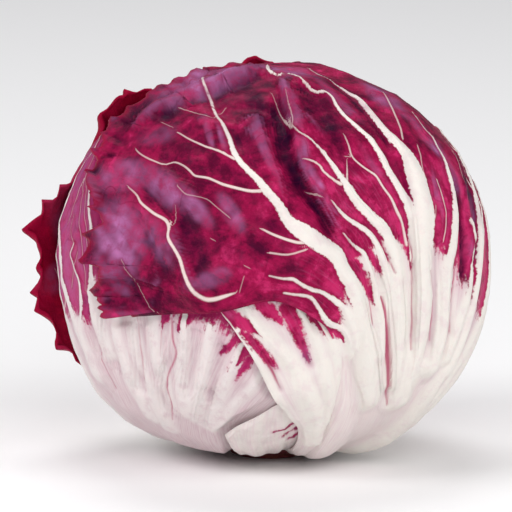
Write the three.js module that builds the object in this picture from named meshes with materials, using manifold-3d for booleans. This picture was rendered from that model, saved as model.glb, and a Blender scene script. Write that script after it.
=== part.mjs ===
// A head of radicchio: a cut stem, the dense heart round it, and the wrapper leaves laid over each
// other like tiles. Millimetres, +Z up, the middle of the stem's cut face at the origin, front at -Y.
//
// Every leaf is a thin shell. Its underside is a height above the heart, which is the sum of the
// leaves that lie below it, so that the leaves can never cross.
import * as THREE from 'three';
import { mergeVertices } from 'three/addons/utils/BufferGeometryUtils.js';
import Module from 'manifold-3d';

const wasm = await Module();
wasm.setup();

// ---- driving dimensions ------------------------------------------------------------------------
const HALF_WIDTH = 62.4;
const HALF_DEPTH = 61;
const TOP_RISE = 55.3; // from the head's middle to its top
const BOTTOM_DROP = 56.6; // from the head's middle to the underside of the lowest leaf base
const MIDDLE_HEIGHT = 57; // of the head's middle over the cut face
const TOP_ROUNDNESS = 2.05; // power of the outline: 2 is an ellipse, more is squarer
const BOTTOM_ROUNDNESS = 2.2;
const FRONT_TILT = 10; // degrees: the line along which places on the front are given

const STEM_RADIUS = 10.5; // of the cut face
const STEM_SHOULDER = 14; // where the lowest leaves grow out of it
const STEM_LENGTH = 44;
const STEM_SIDES = 36;

const BLADE = 0.85; // thickness of a leaf between its ribs
const PITCH = 1.9; // height that one leaf adds under the next
const LAYERS = 2; // leaves over the heart at most places
const CLEAR = 0.75; // between the heart and the first leaf
const FALL = 9; // a covering leaf comes down over this length past the edge of the one it covers
const COVERED = 6; // ribs sink into their leaf this far before another leaf covers them
const BASE_LEVEL = -74; // degrees to the level, where every leaf base ends at the stem
const RIDE_RISE = 15; // degrees above the bases over which the leaves come to ride on each other
const TOOTH = 1.7; // of the toothed edges
const TOOTH_REACH = 3; // the longest tooth, past the outline of its leaf

const middle = new THREE.Vector3(0, 0, MIDDLE_HEIGHT);
const radians = THREE.MathUtils.degToRad;
const degrees = THREE.MathUtils.radToDeg;
const clamp = (x) => Math.min(Math.max(x, 0), 1);
const smooth = (x) => clamp(x) ** 2 * (3 - 2 * clamp(x));
const mix = THREE.MathUtils.lerp;

// The same run of numbers from 0 to 1 on every run, for the uneven teeth.
function seeded(seed) {
  let state = seed;
  return () => {
    state = (state * 16807) % 2147483647;
    return state / 2147483647;
  };
}

// ---- the head's form ---------------------------------------------------------------------------
// Distance from the head's middle to its outside, in the direction of the unit vector n.
function formRadius(n) {
  const power = n.z > 0 ? TOP_ROUNDNESS : BOTTOM_ROUNDNESS;
  const across = Math.hypot(n.x / HALF_WIDTH, n.y / HALF_DEPTH);
  const upright = Math.abs(n.z) / (n.z > 0 ? TOP_RISE : BOTTOM_DROP);
  return (across ** power + upright ** power) ** (-1 / power);
}

const heartRadius = (n) => formRadius(n) - LAYERS * PITCH;

// A direction by its turn from the front toward the right and its rise over the level, in degrees.
function around(turn, rise) {
  const level = Math.cos(radians(rise));
  return new THREE.Vector3(
    Math.sin(radians(turn)) * level,
    -Math.cos(radians(turn)) * level,
    Math.sin(radians(rise)),
  );
}

// The direction of the place on the front that lies x to the right and z above the head's middle
// when it is looked at from FRONT_TILT above the level.
function front(x, z) {
  const tilt = radians(FRONT_TILT);
  const toward = new THREE.Vector3(0, -Math.cos(tilt), Math.sin(tilt));
  const flat = new THREE.Vector3(x, z * Math.sin(tilt), z * Math.cos(tilt));
  let n = flat.clone().addScaledVector(toward, 1).normalize();
  for (let step = 0; step < 12; step += 1) {
    const depth = Math.sqrt(Math.max(formRadius(n) ** 2 - flat.lengthSq(), 0));
    n = flat.clone().addScaledVector(toward, depth).normalize();
  }
  return n;
}

// ---- the leaves, as fans of lines ---------------------------------------------------------------
// A leaf is a fan of lines that run from its base at the stem to its toothed edge. Each line is a
// rib, and halfway between two lines the blade is thin.
const stemEnd = (turn) => around(turn, BASE_LEVEL);

// A line that leaves the stem at one turn, bends at the waist and ends at the leaf's edge.
function bent(start, waist, end) {
  const at = (t) =>
    start
      .clone()
      .multiplyScalar((1 - t) ** 2)
      .addScaledVector(waist, 2 * t * (1 - t))
      .addScaledVector(end, t * t)
      .normalize();
  return [0, 0.14, 0.28, 0.42, 0.56, 0.7, 0.85, 1].map(at);
}

const WAIST_SPREAD = 0.35; // share of a line's turn that it has made at the waist

// A fan whose lines start between two turns at the stem, pass the waist level and end at the
// given places.
function fan(fromTurn, toTurn, waistRise, ends) {
  return ends.map(([turn, rise], k) => {
    const startTurn = mix(fromTurn, toTurn, k / (ends.length - 1));
    const waist = around(mix(startTurn, turn, WAIST_SPREAD), mix(waistRise, rise, 0.3));
    return bent(stemEnd(startTurn), waist, around(turn, rise));
  });
}

// Front leaf, the outermost at the front: from the lower edge of its flap round to its right edge.
const frontLines = [
  [stemEnd(24), front(14, -50), front(19, -38), front(18.5, -27), front(14.6, -18.7), front(4, -14),
    front(-12.7, -15), front(-28, -16.3), front(-46.9, -18.1)],
  [stemEnd(27), front(17, -50), front(22.5, -37), front(22, -23), front(15.5, -16), front(5, -9.5),
    front(-12, -10), front(-30, -10.5), front(-50, -11)],
  [stemEnd(30), front(19.5, -50), front(25, -36), front(23.5, -18), front(16.5, -10.5), front(5.8, -5),
    front(-12, -4), front(-32, -3), front(-52.5, -2.3)],
  [stemEnd(33), front(21.5, -50), front(27, -36), front(25.5, -13), front(19.2, -3.5), front(6.9, 3.5),
    front(-10, 5), front(-30, 6.5), front(-49, 9.5)],
  [stemEnd(36), front(23.5, -50), front(29, -36), front(28, -9.5), front(22.5, 2), front(9, 9.5),
    front(-8, 12.5), front(-27, 17), front(-49.5, 22)],
  [stemEnd(39), front(25.5, -50), front(31, -36), front(30.5, -7), front(25, 6.5), front(11.5, 15.5),
    front(-6, 20), front(-26, 26), front(-48, 33.5)],
  [stemEnd(42), front(27.5, -49.7), front(33, -36), front(33, -5), front(28, 10), front(14.5, 21.5),
    front(-3.1, 28), front(-18, 36), front(-35, 46)],
  [stemEnd(45), front(29, -49.4), front(35, -35.5), front(35.5, -4), front(31.5, 12.5), front(20, 26.5),
    front(5.5, 36), front(-5, 43), front(-17, 53.4)],
  [stemEnd(48), front(30.5, -49), front(37.2, -35), front(38.2, -3), front(36, 14.5), front(27, 29.5),
    front(16, 41), front(7, 49), around(200, 74)],
  [stemEnd(51), front(32, -48.5), front(39.4, -34), front(41, -3), front(40.2, 15.5), front(33.2, 31),
    front(24, 43), front(14, 51), around(180, 66)],
  [stemEnd(54), front(33.5, -48), front(42, -32.5), front(44, -3), front(43.6, 15), front(39, 31),
    front(31, 42.5), front(21, 50.5), around(168, 57)],
  [stemEnd(57), front(35, -47.2), front(45, -31.5), front(49, -4), front(49.5, 14), front(45.5, 30),
    front(38, 41), front(29.5, 47.5), around(158, 47)],
  [stemEnd(60), front(36.5, -46.5), front(47.5, -31), front(53.8, -5), front(55.5, 12), around(80, 29),
    around(95, 39), around(118, 42), around(146, 34)],
  [stemEnd(63), front(37.5, -46.3), front(49.5, -31), around(74, -8), around(82, 8), around(93, 20),
    around(107, 26), around(122, 26), around(139, 19)],
  [stemEnd(66), front(38, -46.2), around(71, -33), around(84, -18), around(94, -4), around(104, 5),
    around(114, 8), around(124, 7), around(134, 4)],
  [stemEnd(69), front(38.3, -46.1), around(74, -36), around(87, -26), around(98, -18), around(108, -12),
    around(116, -10), around(123, -10), around(129, -12)],
];

// The front leaf's lower lobe, which passes under its own flap.
const lobeLines = [
  [stemEnd(16), front(8.3, -51.5), front(6, -45), front(0, -37.3), front(-4.5, -29), front(-9.6, -21.2),
    front(-13.8, -15.4), front(-16, -9)],
  [stemEnd(19), front(11, -51), front(10, -44), front(6, -34), front(1.5, -25), front(-3.5, -17),
    front(-7, -10.5), front(-9.5, -4)],
  [stemEnd(22), front(13.5, -50.5), front(14.5, -42), front(12.5, -31.5), front(9, -21.5),
    front(4, -12.5), front(0, -6), front(-3, 0)],
  [stemEnd(25), front(16, -50), front(19, -39), front(20, -28), front(17.5, -17.5), front(12.5, -9),
    front(8.5, -2.5), front(5, 3)],
  [stemEnd(28), front(18.5, -49.5), front(22.5, -37), front(25.5, -25), front(24, -14), front(20, -6),
    front(16, 0), front(13, 6)],
];

// Left leaf, mostly broad white ribs, under the front leaf.
const leftLines = [
  [stemEnd(-24), front(-10.5, -54), front(-12.7, -48.7), front(-5, -44.8), front(1.9, -41.7),
    front(8, -36), front(14, -28), front(18, -18), front(20, -8)],
  [stemEnd(-31.6), front(-14, -54), front(-16, -46), front(-11, -40), front(-5, -34), front(0, -26),
    front(4, -16), front(6, -5), front(6, 8)],
  [stemEnd(-39.2), front(-18, -53.5), front(-20, -45), front(-17, -36), front(-12.5, -27), front(-9, -17),
    front(-7, -5), front(-6, 8), front(-6, 22)],
  [stemEnd(-46.8), front(-22, -53), front(-24.5, -44), front(-24, -33), front(-22, -22),
    front(-20.5, -10), front(-19.5, 3), front(-19, 17), front(-17, 31)],
  [stemEnd(-54.4), front(-26, -51.5), front(-29.5, -43), front(-31, -31), front(-31, -19), front(-31, -6),
    front(-31, 8), front(-30, 22), front(-26, 36)],
  [stemEnd(-62), front(-30, -50), front(-35, -41), front(-38.5, -28), front(-40.5, -15),
    front(-41.5, -2), front(-41.5, 11), front(-39, 25), front(-33, 40)],
  [stemEnd(-69.6), front(-34, -48), front(-40.5, -38.5), front(-46, -25), front(-49, -12), front(-50.5, 0),
    front(-50, 13), front(-46, 27), front(-37, 42)],
  [stemEnd(-77.2), front(-38, -45.5), front(-45.5, -35.5), front(-52, -22), front(-55, -11),
    front(-57, 0), front(-56, 13), front(-51, 27), front(-41, 42.5)],
  [stemEnd(-84.8), front(-41.5, -43), front(-50, -32), front(-57, -18), front(-60.3, -8), around(-85, 6),
    around(-88, 18), around(-92, 31), around(-98, 45)],
  [stemEnd(-92.4), around(-89, -52), around(-90.5, -37), around(-95, -23), around(-99, -10), around(-102, 2),
    around(-105, 13), around(-109, 24), around(-114, 35)],
  [stemEnd(-100), around(-99, -54), around(-103, -41), around(-109, -29), around(-114, -18),
    around(-119, -9), around(-123, -1), around(-127, 5), around(-131, 10)],
];

// Right leaf, between the front leaf's right edge and the back leaf.
const rightLines = fan(72, 136, -22, [
  [56, -24], [51, -4], [54, 20], [66, 40], [90, 57], [122, 66], [152, 62], [172, 48], [182, 28],
  [184, 6], [176, -18],
]);

// Back leaf, the outermost behind: its edge stands off the head at the left and over the top.
const backLines = fan(256, 147, -30, [
  [262, -38], [263, -20], [264, -4], [265, 9], [264, 22], [262, 35], [256, 49], [243, 65], [216, 77],
  [182, 80], [164, 66], [158, 50], [155, 33], [152, 16], [148, -3], [142, -26],
]);

// Stub of an older leaf, trimmed short at the bottom of the front.
const stubLines = [
  [stemEnd(-21), front(-9.5, -54), front(-14, -49.5), front(-15, -44.5), front(-11, -40.5)],
  [stemEnd(-13), front(-6.2, -54.3), front(-8.5, -50), front(-8, -44.5), front(-6, -38.5)],
  [stemEnd(-5), front(-2, -54.5), front(-2.3, -50.3), front(-2, -44.5), front(-1, -37.5)],
  [stemEnd(3), front(2, -54.5), front(3.5, -50.3), front(4.5, -44.5), front(5, -38)],
  [stemEnd(12), front(6.5, -54.3), front(10, -50), front(11.5, -45), front(11, -40)],
];

// ---- where each leaf covers the head -------------------------------------------------------------
// Flat chart of the head round a leaf's centre, with distances from the centre kept true.
function chartRound(centre) {
  const east = new THREE.Vector3(0, 0, 1).cross(centre).normalize();
  const north = centre.clone().cross(east);
  return (n) => {
    const angle = Math.acos(THREE.MathUtils.clamp(n.dot(centre), -1, 1));
    const flat = new THREE.Vector2(n.dot(east), n.dot(north));
    return flat.setLength(angle * HALF_WIDTH);
  };
}

// How far a leaf covers direction n: 1 over the leaf, falling to 0 at fall mm past its edge.
function coverOf(lines) {
  const ends = lines.map((line) => line.at(-1));
  const outline = [...lines[0].slice(0, -1), ...ends, ...lines.at(-1).slice(0, -1).reverse()];
  const centre = new THREE.Vector3();
  lines.forEach((line) => line.forEach((place) => centre.add(place)));
  const chart = chartRound(centre.normalize());
  const corners = outline.map(chart);
  return (n, fall) => {
    const p = chart(n);
    let nearest = Infinity;
    let inside = false;
    corners.forEach((a, k) => {
      const b = corners[(k + 1) % corners.length];
      const side = b.clone().sub(a);
      const share = clamp(p.clone().sub(a).dot(side) / Math.max(side.lengthSq(), 1e-9));
      nearest = Math.min(nearest, p.distanceTo(a.clone().addScaledVector(side, share)));
      if (a.y > p.y !== b.y > p.y && p.x < a.x + ((p.y - a.y) * side.x) / side.y) inside = !inside;
    });
    return inside ? 1 : 1 - smooth((nearest - TOOTH_REACH) / fall);
  };
}

// From the heart outward. A leaf lies over all those before it.
const stack = [
  { name: 'stub', lines: stubLines },
  { name: 'left', lines: leftLines },
  { name: 'right', lines: rightLines },
  { name: 'lobe', lines: lobeLines.slice(0, 3) },
  { name: 'front', lines: frontLines },
  { name: 'back', lines: backLines },
].map((leaf) => ({ ...leaf, cover: coverOf(leaf.lines) }));
const levelOf = (name) => stack.findIndex((leaf) => leaf.name === name);

// The leaf bases stand side by side round the stem, and the leaves ride on each other above them.
function undersideRadius(n, level) {
  const riding = smooth((degrees(Math.asin(n.z)) - BASE_LEVEL) / RIDE_RISE);
  let radius = heartRadius(n) + CLEAR;
  stack.slice(0, level).forEach((leaf) => {
    radius += PITCH * riding * leaf.cover(n, FALL);
  });
  return radius;
}

const coverAbove = (n, level) =>
  Math.max(0, ...stack.slice(level + 1).map((leaf) => leaf.cover(n, COVERED)));

// ---- a leaf's solid --------------------------------------------------------------------------------
// name: its place in the stack. lines: its fan. rows: steps along a line. ribs: height of each rib.
// base: extra thickness of the fleshy base. flare: how far the edge stands off, for each line.
// fold: height of the leaf's own folds, by line and share of the way along it. teeth: 1 for a
// toothed edge.
function leafGeometry({ name, lines, rows, ribs, base, flare, fold = () => 0, teeth, seed }) {
  const level = levelOf(name);
  const random = seeded(seed);
  const curves = lines.map((line) => new THREE.CatmullRomCurve3(line));
  const columns = 2 * (lines.length - 1);
  const points = [];
  const thickness = [];
  for (let c = 0; c <= columns; c += 1) {
    const onRib = c % 2 === 0;
    const [a, b] = [Math.floor(c / 2), Math.ceil(c / 2)];
    const place = (t) => curves[a].getPoint(t).add(curves[b].getPoint(t)).normalize();
    const rib = (ribs(a) + ribs(b)) / 2;
    const stand = (flare(a) + flare(b)) / 2;
    const reach = teeth * TOOTH * ((onRib ? 1 : -0.6) + 0.8 * (random() - 0.5));
    const tip = place(1);
    const onward = tip.clone().sub(place(1 - 1 / rows)).normalize();
    for (let r = 0; r <= rows; r += 1) {
      const t = r / rows;
      const toEdge = smooth((t - 0.8) / 0.2);
      const n = place(t);
      n.addScaledVector(onward, (toEdge * reach) / HALF_WIDTH).normalize();
      const open = 1 - coverAbove(n, level);
      const wave = 1 + 0.3 * Math.sin(c * 1.9 + seed);
      const radius = undersideRadius(n, level) + stand * wave * toEdge + fold(c / 2, t);
      const spread = smooth(t / 0.12) * (1 - t ** 2) ** 0.8;
      const fleshy = base * (1 - smooth((t - 0.05) / 0.4)) * mix(0.35, 1, open);
      points.push(n.multiplyScalar(radius).add(middle));
      thickness.push(BLADE + fleshy + (onRib ? rib * spread * open : 0));
    }
  }
  return shell(points, thickness, columns, rows);
}

// A closed shell from a grid of points on its underside and the thickness at each.
function shell(points, thickness, columns, rows) {
  const step = rows + 1;
  const at = (c, r) => c * step + r;
  const faces = [];
  const count = points.length;
  for (let c = 0; c < columns; c += 1) {
    for (let r = 0; r < rows; r += 1) {
      const [p, q, s, u] = [at(c, r), at(c + 1, r), at(c + 1, r + 1), at(c, r + 1)];
      faces.push([p, q, s], [p, s, u]);
    }
  }
  const normals = points.map(() => new THREE.Vector3());
  faces.forEach(([i, j, k]) => {
    const across = points[j].clone().sub(points[i]).cross(points[k].clone().sub(points[i]));
    [i, j, k].forEach((corner) => normals[corner].add(across));
  });
  const outward = normals.reduce((sum, n, i) => sum + n.dot(points[i].clone().sub(middle)), 0);
  const sign = Math.sign(outward);
  const outside = points.map((p, i) => p.clone().addScaledVector(normals[i].normalize(), sign * thickness[i]));
  const edge = [];
  for (let c = 0; c < columns; c += 1) edge.push(at(c, 0));
  for (let r = 0; r < rows; r += 1) edge.push(at(columns, r));
  for (let c = columns; c > 0; c -= 1) edge.push(at(c, rows));
  for (let r = rows; r > 0; r -= 1) edge.push(at(0, r));
  const index = [];
  faces.forEach(([i, j, k]) => index.push(i + count, j + count, k + count, k, j, i));
  edge.forEach((i, k) => {
    const j = edge[(k + 1) % edge.length];
    index.push(i, j, j + count, i, j + count, i + count);
  });
  if (sign < 0) index.reverse();
  const geometry = new THREE.BufferGeometry().setFromPoints([...points, ...outside]);
  geometry.setIndex(index);
  return geometry;
}

// ---- joining and cutting ----------------------------------------------------------------------------
function toSolid(geometry) {
  const bare = new THREE.BufferGeometry();
  bare.setAttribute('position', geometry.getAttribute('position').clone());
  bare.setIndex(geometry.getIndex());
  const merged = mergeVertices(bare, 1e-4);
  return new wasm.Manifold(
    new wasm.Mesh({
      numProp: 3,
      vertProperties: new Float32Array(merged.getAttribute('position').array),
      triVerts: new Uint32Array(merged.getIndex().array),
    }),
  );
}

// The largest body of a solid, without loose scraps or sealed pockets.
function toGeometry(solid) {
  const [body] = solid.decompose().sort((a, b) => b.volume() - a.volume());
  const mesh = body.getMesh();
  const geometry = new THREE.BufferGeometry();
  geometry.setAttribute('position', new THREE.BufferAttribute(new Float32Array(mesh.vertProperties), 3));
  geometry.setIndex([...mesh.triVerts]);
  return geometry;
}

// ---- stem and heart -----------------------------------------------------------------------------------
// Half outline of the stem, grown outward by extra on every side but the cut face.
function stemGeometry(extra) {
  const outline = [
    [0, -extra],
    [STEM_RADIUS + extra, -extra],
    [STEM_RADIUS + 0.9 + extra, 1.1],
    [STEM_SHOULDER + extra, 3.6],
    [STEM_SHOULDER - 1 + extra, 6.5],
    [10.5 + extra, 15],
    [7.5 + extra, 30],
    [3 + extra, STEM_LENGTH - 1],
    [0, STEM_LENGTH + extra],
  ];
  const profile = outline.map(([radius, height]) => new THREE.Vector2(radius, height));
  return new THREE.LatheGeometry(profile, STEM_SIDES).rotateX(Math.PI / 2);
}

// The heart: leaves so tightly packed that only their edges show, as low steps that wind round it.
const HEART_TURNS = 40;
const HEART_ROWS = 24;
const HEART_LEAVES = 5;
const HEART_STEP = 0.9;
const HEART_BOTTOM = -75.5; // degrees below the level

function heartGeometry() {
  const points = [];
  for (let row = 0; row <= HEART_ROWS; row += 1) {
    for (let k = 0; k < HEART_TURNS; k += 1) {
      const turn = (360 * k) / HEART_TURNS;
      const rise = mix(HEART_BOTTOM, 90, row / HEART_ROWS);
      const n = around(turn, Math.min(rise, 89.9));
      const winding = (HEART_LEAVES * turn) / 360 + row / 14;
      const fade = Math.cos(radians(rise)) ** 0.5;
      const sunk = HEART_STEP * (winding % 1) * fade;
      points.push(n.multiplyScalar(heartRadius(n) - sunk).add(middle));
    }
  }
  const faces = [];
  for (let row = 0; row < HEART_ROWS; row += 1) {
    for (let k = 0; k < HEART_TURNS; k += 1) {
      const next = (k + 1) % HEART_TURNS;
      const [p, q] = [row * HEART_TURNS + k, row * HEART_TURNS + next];
      const [s, u] = [q + HEART_TURNS, p + HEART_TURNS];
      faces.push(p, q, s, p, s, u);
    }
  }
  const last = HEART_ROWS * HEART_TURNS;
  for (let k = 1; k < HEART_TURNS - 1; k += 1) {
    faces.push(0, k + 1, k);
    faces.push(last, last + k, last + k + 1);
  }
  const geometry = new THREE.BufferGeometry().setFromPoints(points);
  geometry.setIndex(faces);
  return geometry;
}

// ---- the head --------------------------------------------------------------------------------------------
const wine = new THREE.MeshStandardMaterial({ color: 0x8a1546, roughness: 0.45 });
const ivory = new THREE.MeshStandardMaterial({ color: 0xe8e0d6, roughness: 0.5 });
const cream = new THREE.MeshStandardMaterial({ color: 0xdccdb4, roughness: 0.6 });
const cut = new THREE.MeshStandardMaterial({ color: 0xb08a5e, roughness: 0.8 });

const head = new THREE.Group();

function addPiece(name, geometry, material) {
  const mesh = new THREE.Mesh(geometry, material);
  mesh.name = name;
  head.add(mesh);
}

addPiece('stem_core', stemGeometry(0), cut);

const socket = toSolid(stemGeometry(0.4));
addPiece('heart_leaves', toGeometry(toSolid(heartGeometry()).subtract(socket)), cream);

addPiece('leaf_stub', leafGeometry({
  name: 'stub', lines: stubLines, rows: 7, ribs: () => 0.5, base: 1.7, flare: () => 0, teeth: 0, seed: 11,
}), ivory);

addPiece('leaf_left', leafGeometry({
  name: 'left', lines: leftLines, rows: 18, ribs: () => 1.5, base: 1.9, flare: () => 0, teeth: 0.6, seed: 23,
}), ivory);

addPiece('leaf_right', leafGeometry({
  name: 'right', lines: rightLines, rows: 16, ribs: (k) => (k === 5 ? 2 : 1.3), base: 1.9, flare: () => 0,
  teeth: 0.6, seed: 37,
}), wine);

// The front leaf's thickest rib is its midrib. Its lobe and blade are one piece of leaf. The lower
// edge of its flap stands off the lobe, and a valley runs down between two folds.
const FRONT_MIDRIB = 10;
const FLAP_STAND = 2;
const FOLD_HEIGHT = 1.3;
const VALLEY_SIDES = [5.5, 8];
const bump = (x, wide) => smooth(1 - Math.abs(x) / wide);

function frontFold(line, t) {
  const flap = FLAP_STAND * bump(line, 2) * smooth((t - 0.4) / 0.2);
  const along = bump(t - 0.68, 0.3);
  const folds = VALLEY_SIDES.map((side) => FOLD_HEIGHT * bump(line - side, 1.3) * along);
  return flap + folds[0] + folds[1];
}

const frontBlade = toSolid(leafGeometry({
  name: 'front', lines: frontLines, rows: 22, ribs: (k) => (k === FRONT_MIDRIB ? 2.4 : 1.4), base: 1.9,
  flare: (k) => (k < 7 ? 1.6 : 0.9), fold: frontFold, teeth: 1, seed: 41,
}));
const frontLobe = toSolid(leafGeometry({
  name: 'lobe', lines: lobeLines, rows: 14, ribs: () => 0.9, base: 1.7, flare: () => 0, teeth: 0, seed: 53,
}));
addPiece('leaf_front', toGeometry(frontBlade.add(frontLobe)), wine);

// The back leaf's edge stands farthest off at the left, then at the upper left and over the top.
const BACK_MIDRIB = 8;
const backStandOff = [4, 7.5, 8.5, 8.5, 5, 5.5, 6, 2.5, 2, 2, 1.5, 1.5, 1.5, 1.5, 1.5, 1.5];
addPiece('leaf_back', leafGeometry({
  name: 'back', lines: backLines, rows: 20, ribs: (k) => (k === BACK_MIDRIB ? 2.4 : 1.4), base: 1.9,
  flare: (k) => backStandOff[k], teeth: 1.2, seed: 67,
}), wine);

export default head;
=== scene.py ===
"""A head of radicchio, dressed round its CAD frame.

Every leaf is a surface over the head: a fan of lines gives the direction of each point of its grid
from the head's middle, and the height of the leaves below gives its distance. Ribs, folds and teeth
are added to that distance. Lengths are in millimetres until a mesh is made.
"""

import math

import bpy
import numpy as np
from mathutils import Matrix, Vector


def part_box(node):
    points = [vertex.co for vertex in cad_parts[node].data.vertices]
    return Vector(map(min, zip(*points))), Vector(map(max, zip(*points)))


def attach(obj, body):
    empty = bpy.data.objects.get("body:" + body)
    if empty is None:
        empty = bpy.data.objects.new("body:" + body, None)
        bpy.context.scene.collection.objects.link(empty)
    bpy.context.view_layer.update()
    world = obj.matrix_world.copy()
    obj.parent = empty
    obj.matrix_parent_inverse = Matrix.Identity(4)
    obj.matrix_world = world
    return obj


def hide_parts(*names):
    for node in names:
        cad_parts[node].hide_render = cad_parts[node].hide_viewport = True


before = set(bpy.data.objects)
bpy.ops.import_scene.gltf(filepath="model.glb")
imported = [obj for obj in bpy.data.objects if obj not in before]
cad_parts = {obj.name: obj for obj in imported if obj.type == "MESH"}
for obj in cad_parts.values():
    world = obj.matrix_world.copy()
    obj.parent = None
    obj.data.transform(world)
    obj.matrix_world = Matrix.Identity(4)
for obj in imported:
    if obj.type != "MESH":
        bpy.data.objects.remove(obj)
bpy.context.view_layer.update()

# ---- sizes, in millimetres and degrees, many of them the same as in the CAD ------------------------
MM = 0.001
HALF_WIDTH = 62.4
HALF_DEPTH = 61.0
TOP_RISE = 55.3
BOTTOM_DROP = 56.6
# A power of 2 gives an ellipsoid, and a higher one a squarer form.
TOP_ROUNDNESS = 2.05
BOTTOM_ROUNDNESS = 2.2
FRONT_TILT = math.radians(10)
BLADE = 0.75
# How far each leaf lifts those above it, how many such layers lie over the heart, and the play
# between them and the heart.
PITCH = 1.9
LAYERS = 2
CLEAR = 0.75
# A leaf stays lifted until TOOTH_REACH past the edge of the one below, and comes down over FALL. It
# comes into sight over COVERED past the edge of one above.
TOOTH_REACH = 3.0
FALL = 9.0
COVERED = 3.0
# The bases stand side by side at this rise, and the leaves ride on each other from RIDE_RISE above it.
BASE_LEVEL = -74.0
RIDE_RISE = 15.0
# A drawn line has no effect past FAR_OFF. A tongue of colour counts each millimetre off it this often.
FAR_OFF = 7.0
TONGUE_SLOPE = 5
# The millimetres that one unit of a leaf's UV map stands for.
UV_UNIT = 100

stem_low, stem_high = (np.array(corner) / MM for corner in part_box("stem_core"))
MIDDLE_HEIGHT = stem_low[2] + 57.0
MIDDLE = np.array([(stem_low[0] + stem_high[0]) / 2, (stem_low[1] + stem_high[1]) / 2, MIDDLE_HEIGHT])


def smooth(x):
    """0 below 0, 1 above 1, and an even S curve between."""
    x = np.clip(x, 0, 1)
    return x * x * (3 - 2 * x)


def unit(v):
    """Each vector of the array over its own length."""
    return v / np.linalg.norm(v, axis=-1, keepdims=True)


def bell(x):
    """A rounded hump: 1 at 0, falling to nothing by about 2."""
    return np.exp(-x * x)


def waves(points, size, seed, layers=3):
    """A slow uneven field from -1 to 1: sines in seeded directions, each layer finer and weaker."""
    rng = np.random.default_rng(seed)
    total = np.zeros(points.shape[:-1])
    weight = 0.0
    for layer in range(layers):
        for _ in range(4):
            way = unit(rng.normal(size=3)) * 2 * math.pi / (size * rng.uniform(0.7, 1.3))
            total += np.sin(points @ way * 1.8**layer + rng.uniform(0, 6.3)) * 0.55**layer
        weight += 2.2 * 0.55**layer
    return total / weight


# ---- the head's form -------------------------------------------------------------------------------
def form_radius(n):
    """Distance from the middle to the outside along n: an ellipsoid, a little squarer below."""
    power = np.where(n[..., 2] > 0, TOP_ROUNDNESS, BOTTOM_ROUNDNESS)
    rise = np.where(n[..., 2] > 0, TOP_RISE, BOTTOM_DROP)
    across = np.hypot(n[..., 0] / HALF_WIDTH, n[..., 1] / HALF_DEPTH)
    return (across**power + (np.abs(n[..., 2]) / rise) ** power) ** (-1 / power)


def around(turn, rise):
    """Unit direction from its turn to the right of the front and its rise over the level, degrees."""
    turn, rise = np.radians(turn), np.radians(rise)
    return np.stack([np.sin(turn) * np.cos(rise), -np.cos(turn) * np.cos(rise), np.sin(rise) + 0 * turn], -1)


TOWARD = np.array([0, -math.cos(FRONT_TILT), math.sin(FRONT_TILT)])
UPWARD = np.array([0, math.sin(FRONT_TILT), math.cos(FRONT_TILT)])


def front(x, z):
    """Direction of the place on the front that lies x right of and z above the middle.

    The place moves along the line of view until it is as far from the middle as the form is.
    """
    flat = np.multiply.outer(x, [1.0, 0, 0]) + np.multiply.outer(z, UPWARD)
    n = unit(flat + TOWARD)
    for _ in range(12):
        depth = np.sqrt(np.maximum(form_radius(n) ** 2 - (flat * flat).sum(-1), 0))
        n = unit(flat + depth[..., None] * TOWARD)
    return n


def on_front(points):
    """The x and z that front() takes, of points measured from the middle."""
    return points[..., 0], points @ UPWARD


# ---- the leaves, as fans of lines --------------------------------------------------------------------
def base(turn):
    """Direction of a place where a leaf base meets the stem."""
    return ("base", turn)


def fan_of(rows):
    """A net of directions from rows of places: ("base", turn), ("round", turn, rise) or (x, z)."""
    net = []
    for row in rows:
        line = []
        for place in row:
            if place[0] == "base":
                line.append(around(place[1], BASE_LEVEL))
            elif place[0] == "round":
                line.append(around(place[1], place[2]))
            else:
                line.append(front(*place))
        net.append(line)
    return np.array(net, dtype=float)


def bent_fan(from_turn, to_turn, waist_rise, ends):
    """A net whose lines leave the stem between two turns, bend at the waist and end at the ends."""
    net = []
    for k, (turn, rise) in enumerate(ends):
        start = from_turn + (to_turn - from_turn) * k / (len(ends) - 1)
        waist = around(start + (turn - start) * 0.35, waist_rise + (rise - waist_rise) * 0.3)
        share = np.array([0, 0.14, 0.28, 0.42, 0.56, 0.7, 0.85, 1])[:, None]
        first, last = around(start, BASE_LEVEL), around(turn, rise)
        net.append(unit((1 - share) ** 2 * first + 2 * share * (1 - share) * waist + share**2 * last))
    return np.array(net)


def rnd(turn, rise):
    """A place by its turn and rise."""
    return ("round", turn, rise)


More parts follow.
